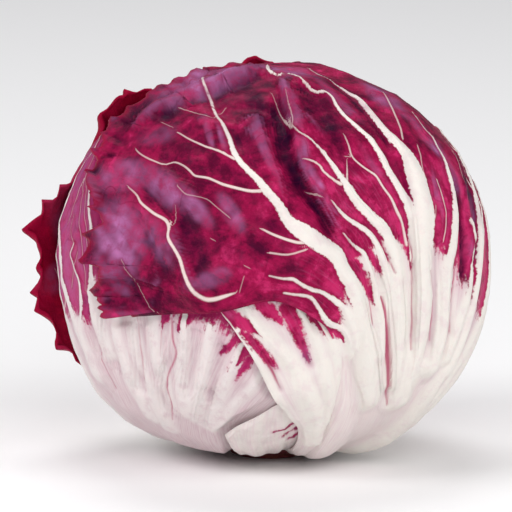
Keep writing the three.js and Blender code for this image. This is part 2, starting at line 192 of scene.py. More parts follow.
FRONT_LINES = fan_of([
    [base(24), (14, -50), (19, -38), (18.5, -27), (14.6, -18.7), (2.5, -12.4), (-13, -15.2),
     (-29, -16.5), (-46.9, -18.1)],
    [base(27), (17, -50), (22.5, -37), (22, -23), (15.5, -16), (5, -9.5), (-12, -10), (-30, -10.5),
     (-50, -11)],
    [base(30), (19.5, -50), (25, -36), (23.5, -18), (16.5, -10.5), (5.8, -5), (-12, -4), (-32, -3),
     (-52.5, -2.3)],
    [base(33), (21.5, -50), (27, -36), (25.5, -13), (19.2, -3.5), (6.9, 3.5), (-10, 5), (-30, 6.5),
     (-49, 9.5)],
    [base(36), (23.5, -50), (29, -36), (28, -9.5), (22.5, 2), (9, 9.5), (-8, 12.5), (-27, 17),
     (-49.5, 22)],
    [base(39), (25.5, -50), (31, -36), (30.5, -7), (25, 6.5), (11.5, 15.5), (-6, 20), (-26, 26),
     (-48, 33.5)],
    [base(42), (27.5, -49.7), (33, -36), (33, -5), (28, 10), (14.5, 21.5), (-3.1, 28), (-18, 36),
     (-35, 46)],
    [base(45), (29, -49.4), (35, -35.5), (35.5, -4), (31.5, 12.5), (20, 26.5), (5.5, 36), (-5, 43),
     rnd(235, 71)],
    [base(48), (30.5, -49), (37.2, -35), (38.2, -3), (36, 14.5), (27, 29.5), (16, 41), (6, 49),
     rnd(207, 68)],
    [base(51), (32, -48.5), (39.4, -34), (41, -3), (40.2, 15.5), (33.2, 31), (24, 43), (14, 51),
     rnd(187, 62)],
    [base(54), (33.5, -48), (42, -32.5), (44, -3), (43.6, 15), (39, 31), (31, 42.5), (21, 50.5),
     rnd(168, 57)],
    [base(57), (35, -47.2), (45, -31.5), (49, -4), (49.5, 14), (45.5, 30), (38, 41), (29.5, 47.5),
     rnd(158, 47)],
    [base(60), (36.5, -46.5), (47.5, -31), (53.8, -5), (55.5, 12), rnd(80, 29), rnd(95, 39),
     rnd(118, 42), rnd(146, 34)],
    [base(63), (37.5, -46.3), (49.5, -31), rnd(74, -8), rnd(82, 8), rnd(93, 20), rnd(107, 26),
     rnd(122, 26), rnd(139, 19)],
    [base(66), (38, -46.2), rnd(71, -33), rnd(84, -18), rnd(94, -4), rnd(104, 5), rnd(114, 8),
     rnd(124, 7), rnd(134, 4)],
    [base(69), (38.3, -46.1), rnd(74, -36), rnd(87, -26), rnd(98, -18), rnd(108, -12), rnd(116, -10),
     rnd(123, -10), rnd(129, -12)],
])
LOBE_LINES = fan_of([
    [base(16), (8.3, -51.5), (6, -45), (0, -37.3), (-4.5, -29), (-9.6, -21.2), (-13.8, -15.4), (-16, -9)],
    [base(19), (11, -51), (10, -44), (6, -34), (1.5, -25), (-3.5, -17), (-7, -10.5), (-9.5, -4)],
    [base(22), (13.5, -50.5), (14.5, -42), (12.5, -31.5), (9, -21.5), (4, -12.5), (0, -6), (-3, 0)],
    [base(25), (16, -50), (19, -39), (20, -28), (17.5, -17.5), (12.5, -9), (8.5, -2.5), (5, 3)],
    [base(28), (18.5, -49.5), (22.5, -37), (25.5, -25), (24, -14), (20, -6), (16, 0), (13, 6)],
])
LEFT_LINES = fan_of([
    [base(-22), (-5.5, -54.9), (-5.5, -51), (-1, -47), (3.5, -43.5), (8.5, -37), (14, -28), (18, -18),
     (20, -8)],
    [base(-31), (-11, -54.2), (-12, -48), (-8, -42.5), (-3, -36), (1, -27), (4.5, -16.5), (6, -5), (6, 8)],
    [base(-41), (-18.2, -53.3), (-20, -45), (-17, -36), (-12.5, -27), (-9, -17), (-7, -5), (-6, 8),
     (-6, 22)],
    [base(-46.8), (-22, -53), (-24.5, -44), (-24, -33), (-22, -22), (-20.5, -10), (-19.5, 3), (-19, 17),
     (-17, 31)],
    [base(-54.4), (-26, -51.5), (-29.5, -43), (-31, -31), (-31, -19), (-31, -6), (-31, 8), (-30, 22),
     (-26, 36)],
    [base(-62), (-30, -50), (-35, -41), (-38.5, -28), (-40.5, -15), (-41.5, -2), (-41.5, 11), (-39, 25),
     (-33, 40)],
    [base(-69.6), (-34, -48), (-40.5, -38.5), (-46, -25), (-49, -12), (-50.5, 0), (-50, 13), (-46, 27),
     (-37, 42)],
    [base(-77.2), (-38, -45.5), (-45.5, -35.5), (-52, -22), (-55, -11), (-57, 0), (-56, 13), (-51, 27),
     (-41, 42.5)],
    [base(-84.8), (-41.5, -43), (-50, -32), (-57, -18), (-60.3, -8), rnd(-85, 6), rnd(-88, 18),
     rnd(-92, 31), rnd(-98, 45)],
    [base(-92.4), rnd(-89, -52), rnd(-90.5, -37), rnd(-95, -23), rnd(-99, -10), rnd(-102, 2),
     rnd(-105, 13), rnd(-109, 24), rnd(-114, 35)],
    [base(-100), rnd(-99, -54), rnd(-103, -41), rnd(-109, -29), rnd(-114, -18), rnd(-119, -9),
     rnd(-123, -1), rnd(-127, 5), rnd(-131, 10)],
])
RIGHT_LINES = bent_fan(72, 136, -22, [
    [56, -24], [51, -4], [54, 20], [66, 40], [90, 57], [122, 66], [152, 62], [172, 48], [182, 28],
    [184, 6], [176, -18],
])
BACK_LINES = bent_fan(250, 147, -30, [
    [252, -40], [261, -25], [264, -4], [265, 9], [261, 21], [252, 36], [255, 48], [240, 61], [214, 67],
    [180, 61], [164, 60], [158, 50], [155, 33], [152, 16], [148, -3], [142, -26],
])
STUB_LINES = fan_of([
    [base(-38), (-9.5, -55.6), (-10.8, -53.4), (-11.8, -51.6), (-12.4, -50)],
    [base(-22), (-6.5, -55.6), (-8, -52.6), (-8.6, -49.8), (-8.4, -47.4)],
    [base(-6), (-2, -55), (-2.6, -51.4), (-2.4, -48), (-1.8, -44.6)],
    [base(9), (4.5, -54.2), (5.2, -50.3), (5.4, -46), (5.4, -41)],
    [base(27), (13.5, -52.6), (15.5, -48.8), (15.5, -44), (13.5, -39)],
])
STACK = [
    ("left", LEFT_LINES),
    ("right", RIGHT_LINES),
    ("stub", STUB_LINES),
    ("lobe", LOBE_LINES[:3]),
    ("front", FRONT_LINES),
    ("back", BACK_LINES),
]
LEVEL = {name: k for k, (name, _) in enumerate(STACK)}


def spline_weights(count, at):
    """Shares of count points in a curve through them at the places at, straight on past the ends."""
    at = np.atleast_1d(np.asarray(at, dtype=float))
    inside = np.clip(at, 0, count - 1)
    i = np.clip(np.floor(inside).astype(int), 0, count - 2)
    f = inside - i
    shares = 0.5 * np.stack([
        -f + 2 * f**2 - f**3, 2 - 5 * f**2 + 3 * f**3, f + 4 * f**2 - 3 * f**3, -(f**2) + f**3,
    ])
    weights = np.zeros((len(at), count))
    rows = np.arange(len(at))
    for step, share in zip((-1, 0, 1, 2), shares):
        j = i + step
        good = (j >= 0) & (j < count)
        np.add.at(weights, (rows[good], j[good]), share[good])
        for past, edge, inner in ((j < 0, 0, 1), (j >= count, count - 1, count - 2)):
            weights[past, edge] += 2 * share[past]
            weights[past, inner] -= share[past]
    beyond = at - inside
    far = beyond > 0
    weights[far, count - 1] += beyond[far]
    weights[far, count - 2] -= beyond[far]
    weights[~far, 0] -= beyond[~far]
    weights[~far, 1] += beyond[~far]
    return weights


def weave(net, across, along):
    """Directions of a grid over a net: smooth curves through its points both ways."""
    lines = spline_weights(net.shape[0], across)
    steps = spline_weights(net.shape[1], along)
    return unit(np.einsum("ai,bj,ijk->abk", lines, steps, net, optimize=True))


def points_on(net, across, along):
    """Directions of single places of a net, one for each pair of line and step."""
    lines = spline_weights(net.shape[0], across)
    steps = spline_weights(net.shape[1], along)
    return unit(np.einsum("ai,aj,ijk->ak", lines, steps, net, optimize=True))


def chart_round(centre):
    """A flat chart round a direction, in which distances from the centre stay true."""
    east = unit(np.cross([0, 0, 1.0], centre))
    north = np.cross(centre, east)

    def chart(n):
        angle = np.arccos(np.clip(n @ centre, -1, 1))
        flat = np.stack([n @ east, n @ north], -1)
        length = np.maximum(np.linalg.norm(flat, axis=-1, keepdims=True), 1e-9)
        return flat / length * angle[..., None] * HALF_WIDTH

    return chart


def past_edge(n, net):
    """How far directions n lie outside a leaf's outline, in millimetres, and 0 inside it."""
    outline = np.concatenate([net[0, :-1], net[:, -1], net[-1, :-1][::-1]])
    chart = chart_round(unit(net.reshape(-1, 3).sum(0)))
    corners, p = chart(outline), chart(n)
    nearest = np.full(n.shape[:-1], 1e9)
    inside = np.zeros(n.shape[:-1], dtype=bool)
    for a, b in zip(corners, np.roll(corners, -1, axis=0)):
        side = b - a
        share = np.clip(((p - a) @ side) / max(side @ side, 1e-9), 0, 1)
        nearest = np.minimum(nearest, np.linalg.norm(p - a - share[..., None] * side, axis=-1))
        if abs(side[1]) > 1e-9:
            crosses = (a[1] > p[..., 1]) != (b[1] > p[..., 1])
            inside ^= crosses & (p[..., 0] < a[0] + (p[..., 1] - a[1]) * side[0] / side[1])
    return np.where(inside, 0, nearest)


def underside_radius(n, level):
    """Distance of a leaf's underside from the middle.

    The heart's, plus one pitch for each leaf below, which comes down over FALL past that leaf's
    edge, and fades out toward the bases, which stand side by side.
    """
    riding = smooth((np.degrees(np.arcsin(n[..., 2])) - BASE_LEVEL) / RIDE_RISE)
    radius = form_radius(n) - LAYERS * PITCH + CLEAR
    for _, net in STACK[:level]:
        radius = radius + PITCH * riding * (1 - smooth((past_edge(n, net) - TOOTH_REACH) / FALL))
    return radius


def covered(n, level):
    """1 where a leaf above lies over direction n, falling to 0 a little past its edge."""
    most = np.zeros(n.shape[:-1])
    for _, net in STACK[level + 1:]:
        most = np.maximum(most, 1 - smooth((past_edge(n, net) - 1) / COVERED))
    return most


# ---- lines drawn on a leaf: ribs, veins, folds and furrows --------------------------------------------
def traced(points, fine=3):
    """Places in space, and half widths, along a smooth curve through front points (x, z, width)."""
    points = np.array(points, dtype=float)
    count = len(points)
    curve = spline_weights(count, np.linspace(0, count - 1, fine * (count - 1) + 1)) @ points
    n = front(curve[:, 0], curve[:, 1])
    return n * form_radius(n)[:, None], np.maximum(curve[:, 2], 0.12)


def grown(net, points):
    """Places in space, and half widths, along net points (line, step, width)."""
    points = np.array(points, dtype=float)
    at = np.linspace(0, len(points) - 1, 2 * len(points) - 1)
    fine = spline_weights(len(points), at) @ points
    n = points_on(net, fine[:, 0], fine[:, 1])
    return n * form_radius(n)[:, None], np.maximum(fine[:, 2], 0.12)


def nearest_on(places, line, widths, reach):
    """Of places near a drawn line: distance to it, distance across it with the side's sign, its half
    width there, and the share of its length at which the nearest point lies."""
    away, beside = np.full(len(places), reach), np.full(len(places), reach)
    width, along = np.full(len(places), 0.3), np.zeros(len(places))
    across = unit(np.cross(np.gradient(line, axis=0), line))
    length = np.linalg.norm(np.diff(line, axis=0), axis=1)
    walked = np.concatenate([[0], np.cumsum(length)])
    for k in range(len(length)):
        span = line[k + 1] - line[k]
        apart = places - line[k]
        pick = np.flatnonzero((apart * apart).sum(1) < (length[k] + reach) ** 2)
        share = np.clip(apart[pick] @ span / length[k] ** 2, 0, 1)
        off = apart[pick] - share[:, None] * span
        distance = np.linalg.norm(off, axis=1)
        closer = distance < away[pick]
        spot, share, off = pick[closer], share[closer], off[closer]
        away[spot] = distance[closer]
        turned = across[k] + share[:, None] * (across[k + 1] - across[k])
        beside[spot] = (off * turned).sum(1)
        width[spot] = widths[k] + (widths[k + 1] - widths[k]) * share
        along[spot] = (walked[k] + length[k] * share) / walked[-1]
    return away, beside, width, along


class Lines:
    """What a set of drawn lines gives at each vertex.

    edge: least distance past a line's own half width, and wide: that line's half width. near:
    distance to the nearest line's middle, side: the same with the sign of the side, and width: that
    line's half width. height: rounded ridges, each tall times the half width to the power lift.
    """

    def __init__(self, places, drawn, tall=0.62, lift=0.8, skirt=1.0, reach=FAR_OFF):
        flat = places.reshape(-1, 3)
        self.edge, self.near, self.side = (np.full(len(flat), reach) for _ in range(3))
        self.width, self.wide = (np.full(len(flat), 0.3) for _ in range(2))
        self.height = np.zeros(len(flat))
        for points, widths in drawn:
            low, high = points.min(0) - reach, points.max(0) + reach
            close = np.flatnonzero(((flat > low) & (flat < high)).all(1))
            away, beside, width, _ = nearest_on(flat[close], points, widths, reach)
            ridge = tall * width**lift * bell(away / (width * skirt + 0.15))
            self.height[close] = np.cbrt(self.height[close] ** 3 + ridge**3)
            nearer = away - width < self.edge[close]
            self.edge[close[nearer]] = (away - width)[nearer]
            self.wide[close[nearer]] = width[nearer]
            closer = away < self.near[close]
            spot = close[closer]
            self.near[spot] = away[closer]
            self.side[spot] = (away * np.where(beside < 0, -1.0, 1.0))[closer]
            self.width[spot] = width[closer]
        for name in ("edge", "near", "side", "width", "height", "wide"):
            setattr(self, name, getattr(self, name).reshape(places.shape[:-1]))


def even(width, *points):
    """Front points that share one half width."""
    return [(x, z, width) for x, z in points]


# Ribs of the front leaf: x, z and half width.
FRONT_RIBS = [
    [(-17.3, 51.2, .3), (-18.3, 48.5, .35), (-16.5, 43.8, .45), (-15, 39.2, .45), (-13.1, 36.2, .5),
     (-11.2, 32.3, .6), (-9.6, 28.1, .75), (-6.9, 24.6, .85), (-3.1, 20.8, .95), (-.8, 17.3, 1.2),
     (2.7, 13.1, 1.2), (5.4, 8.8, 1.8), (8.8, 6.2, 2.3), (13.5, 3.1, 2.3), (18.1, .2, 2.2),
     (20.4, -4.2, 2.1), (22.7, -7.7, 2.1), (25, -14, 2.6), (27, -21, 3), (28, -29, 3.4), (28, -40, 4)],
    [(6.5, 35, .25), (8.1, 33.5, .3), (10.4, 32.5, .4), (12.7, 30.8, .5), (15.4, 28.5, .65),
     (18.1, 25.4, .8), (20.4, 22.7, 1), (22.3, 19.6, 1.3), (25, 15.8, 1.5), (27.7, 12.7, 1.6),
     (30, 10.5, 1.6), (32.3, 8.1, 1.7), (35, 3.8, 1.8), (36.5, 0, 2), (37, -10, 2.3),
     (37.5, -22, 2.6), (35, -36, 3)],
    [(-.4, 53.7, .5), (-.2, 51.8, .6), (1, 51, .6), (3.1, 50.8, .55), (5.4, 51.1, .5),
     (7.3, 50.4, .45), (9.6, 48.5, .4), (12.7, 46.7, .5), (15.4, 46.5, .55), (17.7, 45.8, .6),
     (19.6, 43.5, .65), (21.9, 40.8, .75), (24.2, 38.5, .85), (26.5, 36.2, .95), (29.2, 33.5, 1.1),
     (31.5, 29.6, 1.25), (33.8, 25.4, 1.4), (36.5, 21.2, 1.5), (39.2, 16.5, 1.8), (40.8, 12.3, 1.8),
     (41.9, 8.8, 1.8), (42, 0, 2)],
    [(11, 54, .25), (15, 51.8, .3), (20.8, 49.4, .4), (23.1, 47.7, .7), (26.2, 45.6, 1.0),
     (28.5, 43.1, 1.3), (31.2, 39.6, 1.5), (33.8, 36.2, 1.7), (36.9, 32.3, 2.2), (39.6, 28.1, 2.6),
     (41.2, 24.2, 2.8), (42.3, 19.6, 2.8), (43.5, 13.8, 2.9), (43.8, 8.1, 3), (44, 0, 3),
     (43.5, -7.7, 3), (43.1, -15.4, 3.2), (42.7, -23, 3.2), (40.8, -30.8, 3.4), (37, -40, 4)],
    [(40.8, 40.8, .3), (42.7, 38.1, .35), (44.6, 35.4, .4), (46.9, 32.3, .5), (48.5, 28.5, .55),
     (50, 24.6, .75), (51.2, 20.8, .95), (51.9, 15.8, 1.3), (52.1, 10, 1.7), (51.7, 6.2, 1.8),
     (51.2, 2.3, 1.9), (50, -2, 2), (49, -10, 2.2), (48, -20, 2.6), (45, -30, 3.2)],
    [(58.1, 19.6, .6), (59.6, 15.8, .6), (60.4, 12.3, .7), (59.8, 5, .9), (58.8, -3, 1.3),
     (57, -12, 1.8), (53.8, -22, 2.4), (49.5, -31, 3)],
    [(56.2, 10.2, .6), (56.8, 6.2, .8), (57.3, 0, 1), (56.5, -5.8, 1.3), (55.4, -11.5, 1.6),
     (52.8, -19, 2), (49, -28, 2.4)],
    [(17, 15.2, .25), (18.8, 13.4, .45), (21.2, 11.2, .7),
     (24.6, 9.2, .8), (27.7, 7.3, .9), (29.6, 5.4, 1), (31.5, 2.3, 1.1), (33, -2, 1.3), (34, -8, 1.6),
     (32.5, -18, 2), (31, -28, 2.4)],
    [(20.4, 6.2, .3), (22.7, 3.8, .4), (25, 2.3, .6), (27.3, .4, .8), (28.5, -3.8, 1), (30, -7.7, 1.1),
     (31, -13, 1.3)],
    [(0, -5, .25), (3.5, -5.8, .35), (5.8, -6, .5), (8.1, -7.5, .5), (11.2, -9, .6), (13.5, -9.6, .6),
     (16.5, -11.2, .8), (19.2, -13.1, .9), (20.8, -14.6, 1), (22.6, -19, 1.3), (24, -26, 1.6)],
    [(3.8, -9.6, .35), (6.9, -10, .4), (10.4, -10.8, .5), (12.7, -13.8, .6), (14.6, -16.9, .8),
     (16.5, -18.8, .9), (19.2, -20, .9), (21.2, -22, 1.1), (22.5, -28, 1.4)],
]
# Thin veins of the front leaf.
FRONT_VEINS = [
    [(-25, 33.7, .3), (-21.5, 31.7, .35), (-18.1, 30.4, .4), (-13.5, 28.5, .45), (-9.4, 26.5, .5)],
    [(-37, 29.6, .25), (-35.1, 27.7, .3), (-32, 26, .35), (-28.9, 25, .35), (-26.2, 25.6, .35),
     (-23.5, 24.6, .35), (-21.6, 23.1, .4), (-20.1, 21.7, .4), (-17, 21.3, .45), (-14.6, 20.4, .45),
     (-12.7, 19.6, .5), (-8.5, 18.5, .55), (-4.6, 17.7, .6), (-.8, 17.3, .6)],
    even(.25, (-25.4, 41.5), (-22.3, 40.2), (-16.7, 37.7), (-14.6, 38.6)),
    even(.2, (-30, 37.1), (-26.5, 35)),
    even(.2, (-14.8, 39.8), (-13.5, 40.4), (-12.3, 41.9)),
    [(-2.1, 6.9, .35), (.4, 5.6, .45), (3.5, 4.4, .5), (6.9, 3.5, .55), (9, 3.4, .5)],
    even(.35, (0, .8), (4.6, .2), (9.5, 1.6)),
    [(9.4, 26.4, .25), (11.5, 26, .4), (13.8, 25.2, .5), (15.4, 23.5, .55), (17.7, 21.9, .65),
     (20.4, 20.4, .75)],
    [(.6, 46, .18), (2.3, 42.7, .22), (3.8, 40, .25), (5.4, 37.3, .35), (6.5, 35, .3)],
    [(4.4, 45, .15), (5.4, 41, .22), (6.4, 38, .25), (6.2, 35.4, .2)],
    [(10.4, 18.4, .15), (12.6, 17.2, .3), (14.5, 16, .2)],
    [(22.6, 27.8, .2), (22.5, 25.4, .35), (22.1, 20.7, .45)],
    [(21.5, 35, .25), (23.1, 31.9, .35), (24.2, 28.8, .4), (26.9, 26.2, .45), (29.6, 24.2, .5),
     (30.8, 23.1, .5), (33.1, 19.6, .55), (35.4, 16.5, .6), (36.9, 12.7, .7), (38.5, 9.2, .8),
     (39.6, 3.4, .9)],
    even(.25, (22.2, 28.9), (24.2, 28.8)),
    even(.35, (32.3, 46.5), (35, 42.7), (36.9, 38.5), (38.5, 33.4)),
    even(.3, (41.9, 31.2), (42.9, 27.7), (43.5, 22.6)),
    even(.35, (47.5, 21.5), (48.5, 17.7), (49.4, 13.8), (49.6, 10), (48.8, 4.2)),
    even(.3, (46.5, 14.1), (45.6, 9.4)),
    even(.3, (51.5, 30.2), (53.5, 26.2), (55, 21.1)),
    [(-38.2, 18.8, .25), (-35.8, 16.5, .35), (-34.7, 14.2, .45), (-31.2, 11.5, .5), (-27.8, 9.6, .5),
     (-26.4, 7.3, .5), (-26.2, 5, .5), (-24.7, 2.3, .55), (-23.1, -.8, .6), (-21.5, -4.2, .6),
     (-19.6, -7.7, .65), (-18.5, -9.6, .75), (-16.5, -11.2, .85), (-14.2, -11.3, .8),
     (-11.2, -10.4, .6), (-8.8, -9.6, .3)],
    [(-25.8, 13.8, .12), (-25.6, 11, .2), (-25.7, 8.6, .2)],
    even(.2, (-40.4, -1.2), (-37.3, -5.8), (-34.2, -10), (-32.3, -13.5), (-31, -15.8)),
    even(.22, (-24.3, 18.5), (-22.4, 16.5), (-20.1, 16), (-17, 15.4), (-14.6, 13.5), (-10.8, 10.4)),
    even(.2, (-15.8, 4.6), (-14.6, 4)),
    even(.2, (-6.2, -2.5), (-5, -3.1)),
    even(.2, (-6.5, -5.4), (-7.7, -9.2)),
]
# Folds of the front leaf: height, reach to the right and the left of the way they run, and the line.
FRONT_FOLDS = [
    # The overlapping ridge in the middle, the deep valley at its left, and the pleat beyond.
    (2.3, 1.0, 5.5, [(4.2, 50), (5.4, 43), (7.4, 35), (8.8, 27), (13.0, 18.6), (16.8, 11), (20, 4.6),
                     (22, 0)]),
    (-1.9, 2.6, 1.3, [(2.8, 46), (3.6, 40), (4.6, 33), (6.2, 25.7), (9.6, 19.4), (13.8, 13.1),
                      (17.4, 6.8), (20, 1)]),
    (2.1, 4.2, 1.5, [(-4.6, 42), (-3.1, 36), (-1, 29.5), (1.2, 23), (2.7, 16.6), (3.4, 10)]),
    # The crest along the top, which falls away sharply below, and the one under the vein.
    (2.6, 2.4, 6.5, [(-40, 34), (-30, 41), (-19.7, 46.4), (-12, 49.4), (-5.4, 51.6), (0, 52)]),
    (1.1, 1.1, 4.5, [(-15, 46.5), (-9, 49.2), (-3, 51), (4, 51.2), (10, 48.6), (17, 46), (22, 41)]),
    (1.0, 1.0, 1.4, [(3.2, 51), (3.8, 47), (4.8, 43), (6.4, 38)]),
    (0.9, 1.0, 1.2, [(10.5, 41), (13.5, 36.5), (18, 32), (21, 27)]),
    (-1.0, 5.0, 4.0, [(11, 44), (16, 38), (22, 30), (27, 22)]),
    # The flap: a crest along its vein, hollows beside it, and a curled tooth at its edge.
    (1.8, 4.6, 1.5, [(-41, 22), (-36, 17), (-31.2, 11.5), (-26.4, 6), (-22, -3), (-17.5, -10), (-13, -12)]),
    (-1.5, 2.6, 2.2, [(-25, 15), (-21.5, 7), (-18.5, -1), (-14.5, -7), (-9, -8.5)]),
    (-0.9, 1.0, 1.0, [(-37, 14.5), (-35, 9), (-32, 4), (-29, -1), (-26.5, -7)]),
    (-0.8, 0.8, 0.8, [(-41.5, 0), (-38, -5.8), (-34.5, -10.5), (-32, -15)]),
    (-0.7, 0.8, 0.8, [(-28, -7), (-29.6, -11), (-31, -16)]),
    (1.0, 2.4, 2.4, [(-46, 26), (-38, 24.5), (-32, 24), (-27, 19.5), (-21, 17), (-14, 13)]),
    (0.9, 1.5, 1.8, [(-29, 24), (-25.5, 19), (-21, 15.5), (-16, 12)]),
    (0.9, 1.2, 1.6, [(-14, 17), (-11.5, 13), (-8.5, 8.5), (-6, 4)]),
    (1.4, 1.4, 3.4, [(-52, -1.5), (-46, -3.6), (-39, -4.6), (-31, -6.4), (-25, -9)]),
    (1.9, 3.6, 0.5, [(-51.5, 24), (-49, 21.5), (-47.6, 19), (-46.5, 16), (-46.2, 12)]),
    (-0.8, 2.4, 2.4, [(-47, 19), (-45.5, 14), (-46.5, 8)]),
    # Left of the midrib of the middle, and between the ribs at the right.
    (0.9, 3.0, 1.4, [(-21, 45), (-17.5, 37), (-13.5, 29), (-9, 23)]),
    (0.7, 0.9, 0.9, [(-14.4, 38), (-13.2, 33), (-11.8, 28)]),
    (-0.8, 1.6, 1.6, [(-8, 6), (-1, 1), (7, -3)]),
    (-1.5, 0.9, 1.1, [(19, 50.5), (22.5, 47.5), (26.5, 44), (29.6, 40), (33, 35), (36, 29)]),
    (1.0, 1.2, 2.6, [(12, 33), (19, 27), (25.5, 19), (31.5, 12), (36, 5)]),
    (-1.2, 1.1, 1.1, [(37.5, 28), (39.6, 21), (40.4, 12), (41.3, 2), (41.3, -15), (40.2, -29)]),
    (-2.4, 1.1, 1.2, [(53.5, 30), (55.6, 25), (57.2, 20), (58.4, 10), (58.2, 2), (57, -6)]),
    (-2.2, 1.1, 1.2, [(51.5, 22), (53.2, 17), (54.4, 8), (54.8, .6), (54.2, -8)]),
    (1.2, 1.0, 1.0, [(55, 22), (56.2, 14), (56.6, 6), (56, -2)]),
    (-1.0, 1.1, 1.1, [(28.4, 2), (31.3, -5), (33.2, -14), (34, -26), (33, -43)]),
    (-1.0, 1.1, 1.1, [(51.9, -6), (50.9, -15), (49.6, -23), (46.5, -31)]),
    (-0.9, 1.0, 1.0, [(46.2, 6), (46.5, -8), (45.8, -20), (43.5, -31)]),
    (-0.8, 0.9, 0.9, [(37.2, -4), (38, -16), (37.5, -28)]),
    (-0.8, 1.0, 1.0, [(24.4, -9), (27.5, -18), (30, -30), (31, -42)]),
]
# Painted highlights, a lilac sheen where the blade would catch the light, and painted shade, where it
# would lie in shadow, as soft patches: x, z, half length, half width, turn and strength.
FRONT_PAINTED_HIGHLIGHTS = [
    (-40, 21.8, 7, 3.6, 8, .9), (-40.6, 4.6, 9, 6.0, 90, 1), (-28.5, 18.6, 7.5, 3.2, -40, .8),
    (-31, 5.5, 8, 2.8, -58, .55), (-21, 14, 6, 2.2, -50, .75), (-10.3, 11.6, 5, 1.9, -58, .8),
    (-14.5, -5.8, 4, 2.0, 20, .7),
    (-40, -9, 2.8, 1.2, -30, .4), (-16.6, 33.5, 3.4, .8, -75, .6),
    (-12.9, 32, 4, .7, -72, .6), (-14, 50.6, 15, 3.3, 22, 1), (3, 53.2, 9, 2, -8, .9),
    (4.2, 46, 4.2, .9, -82, .8), (6.4, 38, 2.6, .9, -62, .6), (-1.7, 29.5, 7.5, 1.1, -67, .6),
    (9.8, 29, 3.2, 1.0, -80, .8), (12.8, 21.8, 3.8, 1.0, -60, .85), (20, 45, 7, 1.3, -38, .5),
    (33, 45.5, 9, 1.5, -40, .6), (44.5, 34, 8, 1.2, -55, .6), (50.5, 25, 7, 1.1, -65, .6),
    (58, 8, 8, .7, -86, .5), (47.5, 17, 6, .8, -80, .5), (-24, 44, 5, 1.6, 30, .5),
    (-31, 33, 5, 2.2, 10, .4), (29.5, 27, 5, .8, -55, .4), (16.8, 14.6, 3, .7, -55, .6),
]
# Painted shade: dark pools where the folds lie in shadow.
FRONT_SHADE = [
    (4.4, 36, 7.5, 1.7, -80, 1), (6.8, 25.5, 7, 2.0, -70, 1), (12.8, 14.6, 7.5, 1.6, -54, 1),
    (8.6, 20.5, 5, 1.6, -62, 1), (-10.5, 42.5, 5.5, 3, -20, .5),
    (-20.5, 4, 9, 3.0, -66, .8), (-3.8, 42, 6.5, 3.0, -76, .7), (15.5, 39, 8, 3.8, -48, .75),
    (56.2, 19, 9, .9, -74, 1), (54.4, 4, 11, .9, -86, 1), (52.6, 20, 5, .7, -70, .8),
    (-36, -12, 9, 2.4, 2, .55), (-46.6, 15.5, 5, 1.2, -76, .9), (22.5, 28, 4, 2.0, -50, .5),
    (-6.5, 33, 6, 2, -66, .45),
    (1.6, 6, 7, 2.2, -42, .5), (-24, 36, 6, 3, 20, .3), (27, 43.5, 8, .9, -46, .9),
    (40, 20, 8, .9, -80, .5), (-44.5, 36, 6, 2, 60, .35), (-12, 2, 5, 2.5, -30, .4),
]
# Furrows between the ribs near the base, which show red: x, z and half width.
FRONT_FURROWS = [
    [(28.8, 9.2, .3), (31.5, 5, .35), (33.8, .4, .35), (36, -5, .3)],
    [(32.4, -12, .5), (33.4, -18, .9), (34, -25, 1), (34.1, -32, .7), (33.4, -42, .3)],
    [(38, 14, .3), (39.5, 8, .35), (41.3, 2, .3), (41.6, -5, .25), (41.3, -15, .25), (41.2, -20, .3),
     (40.2, -27, .2)],
    [(52.2, -4, .5), (51.2, -15, .5), (50.6, -22, .2)],
    [(45.6, -4, .2), (46.2, -14, .25), (45.4, -24, .2)],
    [(26.4, -4, .25), (28.6, -12, .3), (29.6, -20, .2)],
]
# Patches and tongues of colour on the white base: x, z and half width.
FRONT_TONGUES = [
    [(14, -4.2, 1.3), (19, -3.4, .8), (21, -2.6, .3)],
    [(10, -12.6, 1.3), (13.5, -15.4, 1.2), (16, -17.4, .8)],
    [(4, -8, .8), (10, -9.6, .8), (15, -12.2, .7), (18.5, -16, .5)],
    [(16.5, -20, .9), (20, -22.5, 1.2), (23, -26.5, .4)],
    [(19, -6, 1.3), (22, -10.5, 1.0), (24, -15, .3)],
    [(22, -.5, 2.5), (25.5, -5, 2.2), (28, -9.5, 1.4), (30, -13.5, .4)],
    [(27, 3, 1.6), (30, -1, 1.2), (32.8, -5.4, .3)],
    [(31.5, 5, 1.1), (34.3, -1.5, .4)],
    [(35, 12, 2.0), (38, 6, 1.6), (40.2, 1, 1.1), (41.4, -3.5, .3)],
    [(37.5, 27, 1.2), (39.4, 20, .8), (40.6, 14, .4), (41.2, 6, .2)],
    [(45.5, 18, 2.4), (46.2, 10, 1.8), (46.5, 3.5, .5)],
    [(54, 14, 1.7), (54.8, 4, 1.4), (54.6, -3, .9), (54.2, -9, .2)],
    [(60.4, 8, .9), (61, -2, .3)],
]
